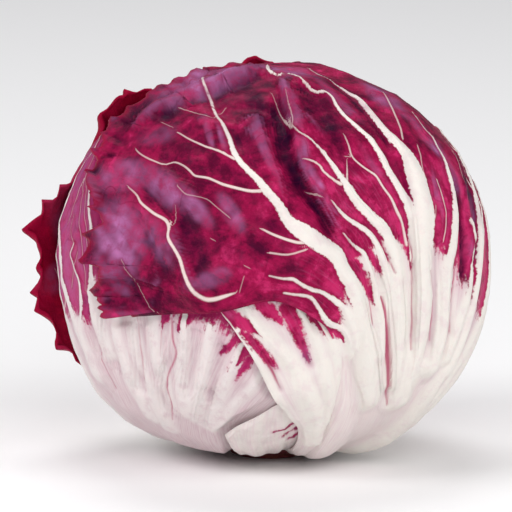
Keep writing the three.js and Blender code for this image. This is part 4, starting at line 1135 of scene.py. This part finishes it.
    # The skin is dented softly, and weft-like threads run along it near the base.
    height = add(tree, MATHS, (cloud, 1.4), **TIMES)
    weft = add(tree, MATHS, (low_down, 0.15), **TIMES)
    for pattern, strength in ((mottle, 1.6), (facet, 0.4), (crease, -0.2), (fine_streak, weft),
                              (on_vein, 0.5)):
        height = add(tree, MATHS, (pattern, strength, height), **TIMES_PLUS)
    bump = add(tree, BUMP, {"Height": height, "Strength": 0.4, "Distance": 0.0006})
    rough = add(tree, MATHS, (mottle, 0.2, 0.3), **TIMES_PLUS)
    shader = add(tree, SHADER, {
        "Base Color": shown, "Roughness": rough, "Normal": bump, "IOR": 1.45,
        "Specular IOR Level": 0.05, "Specular Tint": linear("#F0DCFF"),
        "Subsurface Weight": 0.08, "Subsurface Radius": (0.004, 0.002, 0.002), "Subsurface Scale": 0.4,
    })
    add(tree, OUTPUT, {"Surface": shader})
    return material


FRONT_SKIN = leaf_skin("radicchio leaf, wine and white", "#C42A64", "#981244", "#460626")
LEFT_SKIN = leaf_skin("radicchio leaf, mostly white", "#B0285F", "#A01C58", "#6A0E3C",
                      "#E6DCDA", "#C499A8")
BACK_SKIN = leaf_skin("radicchio leaf, crimson edged", "#C01444", "#A00C30", "#6A0424")
STUB_SKIN = leaf_skin("radicchio leaf base, cut back", "#A41E56", "#8E2E54", "#7A2A4A")


def cut_flesh():
    """Cut radicchio stem: wet flesh that has browned in the air.

    Rings of vessels, 2.6 mm apart, and a brown skin of oxidised juice show on cream.
    """
    material, tree = new_material("cut stem, oxidised")
    spot = add(tree, "ShaderNodeTexCoord", out="Object")
    flat = add(tree, MAPPING, {"Vector": spot, "Scale": (1, 1, 0)})
    out = add(tree, "ShaderNodeVectorMath", (flat,), out="Value", operation="LENGTH")
    stir = add(tree, NOISE, {"Vector": spot, "Scale": 320.0, "Detail": 4.0})
    ring = add(tree, MATHS, (stir, 0.004, out), **TIMES_PLUS)
    bands = add(tree, MATHS, (ring, 2400.0), **TIMES)
    bands = add(tree, MATHS, (bands,), operation="SINE")
    bands = add(tree, RANGE, (bands, 0.2, 1.0, 0.0, 0.3), **SOFT)
    pith = add(tree, RANGE, (ring, 0.004, 0.008), **SOFT)
    bark = add(tree, RANGE, (ring, 0.008, 0.0115), **SOFT)
    colour = linear("#C9A27C")
    for share, hue in ((pith, "#DCC2A4"), (bark, "#6E2A2E"), (bands, "#8A5434")):
        colour = add(tree, MIX, {0: share, 6: colour, 7: linear(hue)}, **COLOURS)
    bump = add(tree, BUMP, {"Height": stir, "Strength": 0.5, "Distance": 0.0006})
    shader = add(tree, SHADER, {
        "Base Color": colour, "Roughness": 0.55, "Normal": bump, "IOR": 1.42,
        "Subsurface Weight": 0.15, "Subsurface Radius": (0.003, 0.002, 0.001), "Subsurface Scale": 0.5,
    })
    add(tree, OUTPUT, {"Surface": shader})
    return material


CUT_FLESH = cut_flesh()


# ---- the leaves ----------------------------------------------------------------------------------------
def inside_polygon(x, z, corners):
    """Whether places lie inside a polygon, by counting the sides that a level ray crosses."""
    inside = np.zeros(np.shape(x), dtype=bool)
    for (ax, az), (bx, bz) in zip(corners, np.roll(corners, -1, axis=0)):
        if az != bz:
            crosses = (az > z) != (bz > z)
            inside ^= crosses & (x < ax + (z - az) * (bx - ax) / (bz - az))
    return inside


def toothed_end(leaf):
    """Where each line of the front leaf runs out of its toothed edge; 1 where that edge isn't met."""
    tries = np.linspace(0.8, 1.12, 161)
    n = weave(leaf.net, leaf.line, tries * (leaf.net.shape[1] - 1))
    stand = 2.6 + 1.9 * np.sin(leaf.line * 4.1 + 0.6) * smooth((6.4 - leaf.line) / 0.4)
    x, z = on_front(n * (form_radius(n) + stand[:, None])[..., None])
    out = ~inside_polygon(x, z, FRONT_TEETH)
    end = np.where(out.any(1), tries[out.argmax(1)], 1)
    return 1 + (end - 1) * (1 - smooth((leaf.line - 7.1) / 0.5))


def teeth(walk, size, spacing, seed):
    """A saw-toothed wave from 0 to size along an edge of walked lengths, uneven in height and width."""
    rng = np.random.default_rng(seed)
    phase = walk / spacing + 0.6 * np.sin(walk / (2.3 * spacing) + rng.uniform(0, 6))
    saw = phase % 1.0
    shape = np.where(saw < 0.72, saw / 0.72, (1 - saw) / 0.28)
    uneven = 0.65 + 0.35 * np.sin(np.floor(phase) * 2.4 + rng.uniform(0, 6))
    return size * uneven * shape**1.2


def front_leaf():
    """The leaf that wraps the front: from its base at the right it bends over the top to the left,
    where its toothed edge and its rolled lower lip stand off the leaves below."""
    across = np.interp(np.linspace(0, 1, 393), [0, 0.85, 1], [0, 12.2, 15])
    leaf = Leaf("front", FRONT_LINES, across, 225, reach=toothed_end)
    more_ribs, more_veins = fan_ribs(FRONT_LINES, [12.6, 13.4, 14.1, 14.7], 4, 2.2)
    over_ribs, over_veins = fan_ribs(FRONT_LINES, [8.6, 10.2, 11.4], 9, 0.9)
    ribs = leaf.drawn(FRONT_RIBS, more_ribs, tall=0.85)
    veins = leaf.drawn(FRONT_VEINS, more_veins, lift=0.9)
    furrows, tongues = leaf.drawn(FRONT_FURROWS), leaf.drawn(FRONT_TONGUES)
    # Past the top, where the leaf goes down the back, it has more ribs, which lie flush in the skin.
    past_top = leaf.places[..., 1] > 12
    flush = np.minimum(ribs.edge, leaf.drawn([], over_ribs).edge)
    ribs.edge = np.where(past_top, flush, ribs.edge)
    flush = np.minimum(veins.near, leaf.drawn([], over_veins).near)
    veins.near = np.where(past_top, flush, veins.near)
    bends = folds(leaf.places, FRONT_FOLDS)
    far = smooth((leaf.t - 0.4) / 0.12)
    relief = ribs.height + 0.5 * veins.height - 0.5 * bell(furrows.near / 0.8)
    thickness = leaf.flesh(relief + (0.6 + bends) * (1 - far), edge=0.45, taper=1.6)

    # The blade lies loose on the leaves below, with soft dents and sharper creases across it.
    creases = np.abs(waves(leaf.places, 34, 12, 2)) + 0.5 * np.abs(waves(leaf.places, 15, 13, 2))
    puckers = 0.8 * waves(leaf.places, 24, 3, 2) + 0.18 * waves(leaf.places, 9, 5, 2) + 0.3 - 0.9 * creases
    loose = 2.0 - 1.8 * smooth((leaf.x - 5) / 24) + bends + puckers
    # It settles softly on what is below, nowhere closer than a tenth.
    loose = 0.1 + 0.5 * np.logaddexp(0, (loose - 0.1) / 0.5)
    # The flap bulges and then tucks in to its lower lip, which stands just clear of what is below.
    flap = smooth((leaf.t - 0.5) / 0.12)
    lip = np.interp(leaf.across, [0, 0.8, 3, 7, 12, 18, 28], [0, 0.5, 1.1, 2.1, 2.6, 1.7, 0])
    lift = loose * far * leaf.open * (1 - flap * (1 - smooth(leaf.across / 9)) * 0.6) + lip * flap
    lift = lift + 1.8 * bell((leaf.t - 0.56) / 0.07) * bell(leaf.across / 8)
    # Its toothed edge ripples, and comes down at the lower corner.
    near_teeth = smooth(1 - leaf.to_end / 11) * smooth((8.2 - leaf.k) / 1.2)
    lift = lift + 2.4 * near_teeth * (0.55 + 0.45 * np.sin(leaf.k * 4.1 + 0.6))
    lift = lift - 3.2 * smooth(1 - leaf.to_end / 12) * (1 - smooth(leaf.k / 1.1)) * flap
    behind = smooth(1 - leaf.to_end / 7) * smooth((leaf.k - 7.5) / 1) * leaf.open
    lift = lift + 1.1 * behind * (0.6 + 0.4 * np.sin(leaf.k * 5.3))
    # Near the base the blade grows out of the lobe, so its lower edge sinks into it.
    lift = lift - 1.6 * (1 - smooth((leaf.t - 0.38) / 0.07)) * (1 - smooth(leaf.across / 8))

    # Heights of the white base on each line, as shares of the way to the edge.
    white_to = np.interp(leaf.k, np.arange(16), [
        .42, .43, .44, .45, .45, .44, .43, .43, .42, .41, .42, .40, .37, .35, .40, .43])
    colour = np.maximum((leaf.t - white_to) * leaf.along[:, -1:], -tongues.edge * TONGUE_SLOPE)
    tone = 0.05 + 0.55 * smooth((leaf.t - white_to) / 0.34) + 0.16 * waves(leaf.places, 30, 8)
    # Painted shade: the skin is painted darker in the valleys of the folds.
    tone = tone - 0.22 * np.minimum(bends, 0) * far + 0.1 * smooth((-12 - leaf.x) / 25)
    at_front = smooth((8 - leaf.places[..., 1]) / 12) * (0.8 + 0.4 * waves(leaf.places, 6, 9, 2))
    tone = tone + 0.18 * at_front * smooth((leaf.z - 22) / 16) * smooth((8 - leaf.x) / 12)
    # Painted highlights and painted shade, as patches on the front.
    bloom = at_front * patches(leaf.x, leaf.z, FRONT_PAINTED_HIGHLIGHTS)
    shade = at_front * patches(leaf.x, leaf.z, FRONT_SHADE)
    values = skin_values(leaf, thickness + lift, ribs, veins, furrows.edge, colour, tone, bloom=bloom,
                         shade=shade)
    make_leaf("wrapper_leaf_front", "leaf_front", FRONT_SKIN, leaf, thickness, lift, values)


def front_lobe():
    """The lower lobe of the front leaf: it leaves the same base and runs in under the rolled lip."""
    leaf = Leaf("lobe", LOBE_LINES, np.linspace(0, 4, 153), 177)
    ribs, furrows, tongues = (leaf.drawn(lines) for lines in (LOBE_RIBS, LOBE_FURROWS, LOBE_TONGUES))
    above = 1 - smooth((leaf.k - 2.2) / 1.2)
    relief = ribs.height - 0.6 * bell(furrows.near / 0.8)
    thickness = BLADE + (1.5 * (1 - smooth((leaf.t - 0.05) / 0.5)) + relief) * above
    thickness = thickness * (0.4 + 0.6 * smooth(leaf.rim / 2.0))
    thickness = np.maximum(thickness + 0.25 * waves(leaf.places, 9, 21) * above, 0.3)
    lift = 0.5 * (1 - smooth(leaf.across / 3)) * smooth((leaf.t - 0.2) / 0.2)
    colour = np.maximum(-tongues.edge * TONGUE_SLOPE, leaf.z + 11.5)
    tone = 0.1 + 0.2 * waves(leaf.places, 14, 22)
    values = skin_values(leaf, thickness + lift, ribs, leaf.drawn([]), furrows.edge, colour, tone,
                         margin=0 * tone)
    make_leaf("wrapper_leaf_lower_lobe", "leaf_front", FRONT_SKIN, leaf, thickness, lift,
              values)


def left_leaf():
    """The leaf at the left: broad white ribs from the base, and a magenta panel up its side."""
    leaf = Leaf("left", LEFT_LINES, np.linspace(0, 10, 321), 225)
    more_ribs, more_veins = fan_ribs(LEFT_LINES, [8.6, 9.4], 14, 2.0)
    ribs = leaf.drawn(LEFT_RIBS, more_ribs, tall=0.5, skirt=1.8)
    veins = leaf.drawn(LEFT_VEINS, more_veins)
    furrows, tongues = leaf.drawn(LEFT_FURROWS), leaf.drawn(LEFT_TONGUES)
    plump = smooth((leaf.x + 60) / 12) * smooth(leaf.across / 8)
    relief = plump + ribs.height + folds(leaf.places, LEFT_FOLDS) - 0.5 * bell(furrows.near / 0.9)
    thickness = leaf.flesh(relief + 0.4 * waves(leaf.places, 13, 31))
    lift = 0.7 * (1 - smooth(leaf.across / 6)) * smooth((leaf.t - 0.3) / 0.1)
    white_to = np.interp(leaf.k, np.arange(11), [.6, .56, .56, .54, .54, .56, .56, .5, .5, .45, .45])
    white_to = white_to - 0.1 * smooth((leaf.k - 6.4) / 0.5) * (1 - smooth((leaf.k - 8.2) / 0.4))
    colour = np.maximum((leaf.t - white_to) * leaf.along[:, -1:], -tongues.edge * TONGUE_SLOPE)
    tone = 0.1 + 0.6 * smooth((leaf.t - 0.55) / 0.35) + 0.16 * waves(leaf.places, 24, 32)
    # Painted sheen, a lilac highlight, down the far left side of the leaf.
    bloom = 0.55 * smooth((-49 - leaf.x) / 4) * smooth((leaf.z + 20) / 8)
    values = skin_values(leaf, thickness + lift, ribs, veins, furrows.edge, colour, tone, bloom=bloom)
    make_leaf("wrapper_leaf_left", "leaf_left", LEFT_SKIN, leaf, thickness, lift, values)


def right_leaf():
    """The leaf at the right, which runs behind the front leaf and over the top."""
    leaf = Leaf("right", RIGHT_LINES, np.linspace(0, 10, 241), 161)
    rib_lines = [0.5, 1.5, 2.5, 3.6, 5, 6.2, 7.2, 8.2, 9.2, 9.8]
    ribs, veins = (leaf.drawn([], lines) for lines in fan_ribs(RIGHT_LINES, rib_lines, 44, 2.3))
    thickness = leaf.flesh(ribs.height + 0.5 * veins.height + 0.5 * waves(leaf.places, 15, 45))
    lift = smooth(1 - leaf.rim / 6) * smooth((leaf.t - 0.3) / 0.2)
    colour = (leaf.t - 0.4 - 0.05 * np.sin(leaf.k * 1.7)) * leaf.along[:, -1:]
    tone = 0.1 + 0.7 * smooth((leaf.t - 0.4) / 0.4) + 0.16 * waves(leaf.places, 26, 46)
    values = skin_values(leaf, thickness + lift, ribs, veins, 0 * tone + FAR_OFF, colour, tone)
    make_leaf("wrapper_leaf_right", "leaf_right", BACK_SKIN, leaf, thickness, lift, values)


def back_leaf():
    """The back leaf: its crimson toothed edge stands off the left side and the top, inner face out."""
    leaf = Leaf("back", BACK_LINES, np.linspace(0, 15, 301), 151)
    rib_lines = [0.7, 2, 3.4, 4.8, 6.2, 8, 9.6, 11, 12.2, 13.4, 14.4]
    ribs, veins = (leaf.drawn([], lines) for lines in fan_ribs(BACK_LINES, rib_lines, 54, 2.5, ends=0.8))
    relief = ribs.height + 0.5 * veins.height + 0.6 * waves(leaf.places, 16, 55)
    thickness = leaf.flesh(relief, least=0.4, edge=0.45)
    # How far the edge has to stand out to reach its outline, first evenly and then tooth by tooth.
    end = leaf.under[:, -1]
    x, z = on_front(end)
    angle = np.unwrap(np.arctan2(z, x) % (2 * math.pi))
    known = np.arctan2(STANDING_EDGE[:, 1], STANDING_EDGE[:, 0]) % (2 * math.pi)
    order = np.argsort(known)
    edge_radius = np.interp(angle, known[order], np.hypot(*STANDING_EDGE[order].T))
    shown = smooth(9.4 - leaf.line)
    gap = np.clip((edge_radius / np.hypot(x, z) - 1) * np.linalg.norm(end, axis=1), -1, 10.5) * shown
    spread = np.exp(-np.linspace(-2, 2, 31) ** 2)
    even_gap = np.convolve(np.pad(gap, 15, mode="edge"), spread / spread.sum(), mode="valid")
    tooth = gap - even_gap + teeth(leaf.across[:, -1], 1.6, 6, 56) * (1 - shown)
    lift = (even_gap + 1.2 * (1 - shown))[:, None] * smooth(1 - leaf.to_end / 17) ** 1.6
    lift = lift + tooth[:, None] * smooth(1 - leaf.to_end / 4.5)
    side = np.minimum(leaf.across, leaf.across[-1:] - leaf.across)
    lift = lift + 0.9 * smooth(1 - side / 5) * smooth((leaf.t - 0.3) / 0.2) * smooth(leaf.to_end / 9)
    colour = (leaf.t - 0.45 - 0.05 * np.sin(leaf.k * 1.9 + 1)) * leaf.along[:, -1:]
    tone = 0.1 + 0.8 * smooth((leaf.t - 0.45) / 0.45) + 0.16 * waves(leaf.places, 26, 57)
    values = skin_values(leaf, thickness, ribs, veins, 0 * tone + FAR_OFF, colour, tone,
                         margin=smooth(1 - leaf.to_end / 12) * leaf.open)
    make_leaf("wrapper_leaf_back", "leaf_back", BACK_SKIN, leaf, thickness, lift, values,
              stride=1)


def leaf_stub():
    """The base of a leaf that was pulled off, left at the front of the stem."""
    leaf = Leaf("stub", STUB_LINES, np.linspace(0, 4, 97), 81)
    thickness = leaf.flesh(0.35 * waves(leaf.places, 7, 61) + 0.3 * np.sin(leaf.k * 5), base=1.2, taper=2.0)
    lift = 1.4 * smooth((2.8 - leaf.k) / 1.5) * smooth((leaf.t - 0.1) / 0.3)
    speckles, bare, none = leaf.drawn(STUB_TONGUES), leaf.drawn([]), 0 * leaf.t
    bare.edge = 0.4 + 1.5 * np.abs(np.sin(leaf.k * 3.2))
    values = skin_values(leaf, thickness, bare, bare, none + FAR_OFF, -speckles.edge * TONGUE_SLOPE,
                         none + 0.1, bloom=none, margin=none)
    make_leaf("pulled_leaf_base", "leaf_stub", STUB_SKIN, leaf, thickness, lift, values)


def heart():
    """The heart: the form, two layers in, stepped down along a spiral as each leaf edge ends."""
    turn, rise = np.meshgrid(np.linspace(0, 360, 320, endpoint=False), np.linspace(-90, 90, 161),
                             indexing="ij")
    spiral = (5 * turn / 360 + 0.012 * (rise + 90)) % 1.0
    # A rib runs up every 24 degrees, with a wander; at the top they draw together and thin out.
    from_rib = np.abs(((turn + 9 * np.sin(np.radians(3 * rise + 2 * turn))) / 24) % 1.0 - 0.5) * 2
    edge = from_rib * 12 * np.cos(np.radians(rise)) - (1.8 * (1 - smooth((rise + 60) / 110)) + 0.1)
    n = around(turn, rise)
    radius = form_radius(n) - LAYERS * PITCH - 0.9 * smooth((1 - spiral) / 0.06) * spiral
    radius = radius + 0.25 * bell(np.maximum(edge, 0)) - 0.25
    colour = rise + 12 + 6 * np.sin(np.radians(2 * turn))
    none = 0 * turn
    values = {
        "rib": edge, "rib_width": none + 1, "vein_side": none + FAR_OFF, "vein_near": none + FAR_OFF,
        "vein_width": none + 0.3, "colour": colour, "tone": 0.3 + 0.4 * smooth((colour + 20) / 80),
        "furrow": none + FAR_OFF, "bloom": none, "shade": none, "margin": none,
    }
    uv = np.stack([turn / 360 * 3.6, (rise + 90) / 180 * 1.7], -1)
    make_round("heart", "heart_leaves", BACK_SKIN, n * radius[..., None], values, uv)


def stem():
    """The cut stem: its outline turned about the upright, a little out of round."""
    outline = np.array([(0, 0), (4, 0), (8, 0), (10.1, 0.05), (10.9, 0.5), (11.4, 1.3), (12.8, 2.4),
                        (13.8, 3.8), (13.6, 5), (13, 6.5), (12, 9), (10.5, 15), (9, 22), (7.5, 30),
                        (5, 38), (3, 43), (0, 44)], dtype=float)
    fine = spline_weights(len(outline), np.linspace(0, len(outline) - 1, 81)) @ outline
    r, z = np.maximum(fine[:, 0], 0), np.clip(fine[:, 1], 0, 44)
    r[[0, -1]] = 0
    turn = np.linspace(0, 2 * math.pi, 120, endpoint=False)[:, None]
    uneven = 1 + 0.018 * np.sin(3 * turn + 1) + 0.012 * np.sin(7 * turn + z / 6) + 0.008 * np.sin(13 * turn)
    r, z = r * uneven, z - MIDDLE_HEIGHT + 0 * turn
    points = np.stack([r * np.sin(turn), -r * np.cos(turn), z], -1)
    make_round("cut_stem", "stem_core", CUT_FLESH, points)


stem()
heart()
leaf_stub()
left_leaf()
right_leaf()
front_lobe()
front_leaf()
back_leaf()


# ---- floor, light and camera -------------------------------------------------------------------------
def studio():
    """A pale floor, a soft key light from the upper left, a broad fill and an even sky."""
    scene = bpy.context.scene
    material, tree = new_material("studio paper, matt")
    paper = add(tree, SHADER, {"Base Color": linear("#FBFBFB"), "Roughness": 0.9})
    add(tree, OUTPUT, {"Surface": paper})
    mesh = bpy.data.meshes.new("floor")
    size = 6.0
    mesh.from_pydata([(-size, -size, 0), (size, -size, 0), (size, size, 0), (-size, size, 0)], [],
                     [(0, 1, 2, 3)])
    floor = bpy.data.objects.new("floor", mesh)
    scene.collection.objects.link(floor)
    mesh.materials.append(material)
    world = bpy.data.worlds.new("studio")
    world.use_nodes = True
    sky = world.node_tree.nodes["Background"].inputs
    sky["Color"].default_value = linear("#FBFAFF")
    sky["Strength"].default_value = 0.24
    scene.world = world
    # Each lamp: its place and width in metres, and its watts.
    for name, place, width, watts in (
        ("key", (-1.0, -0.5, 0.8), 0.6, 7.5),
        ("front", (0.3, -1.3, 0.8), 1.1, 10.8),
        ("top", (-0.1, 0.6, 1.3), 0.7, 7.5),
        ("right", (1.1, -0.5, 0.7), 0.6, 4.6),
    ):
        light = bpy.data.lights.new(name, "AREA")
        light.size = width
        light.energy = watts
        lamp = bpy.data.objects.new(name, light)
        lamp.location = place
        # It turns toward the middle of the head's lower half.
        x, y, z = place[0], place[1], place[2] - 0.05
        lamp.rotation_euler = (math.atan2(math.hypot(x, y), z), 0, math.atan2(x, -y))
        scene.collection.objects.link(lamp)


def camera():
    """A long lens ten degrees above level, so that 146.1 mm at the head's middle fill the view."""
    distance, width, aim = 3.0, 0.1461, np.array([-3.71, 0, MIDDLE_HEIGHT]) * MM
    lens = bpy.data.cameras.new("camera")
    lens.sensor_width = 36
    lens.lens = 36 * distance / width
    lens.clip_end = 50
    eye = bpy.data.objects.new("camera", lens)
    eye.location = aim + TOWARD * distance
    eye.rotation_euler = (math.radians(90) - FRONT_TILT, 0, 0)
    bpy.context.scene.collection.objects.link(eye)
    bpy.context.scene.camera = eye


studio()
camera()
bpy.context.scene.view_settings.view_transform = "Standard"
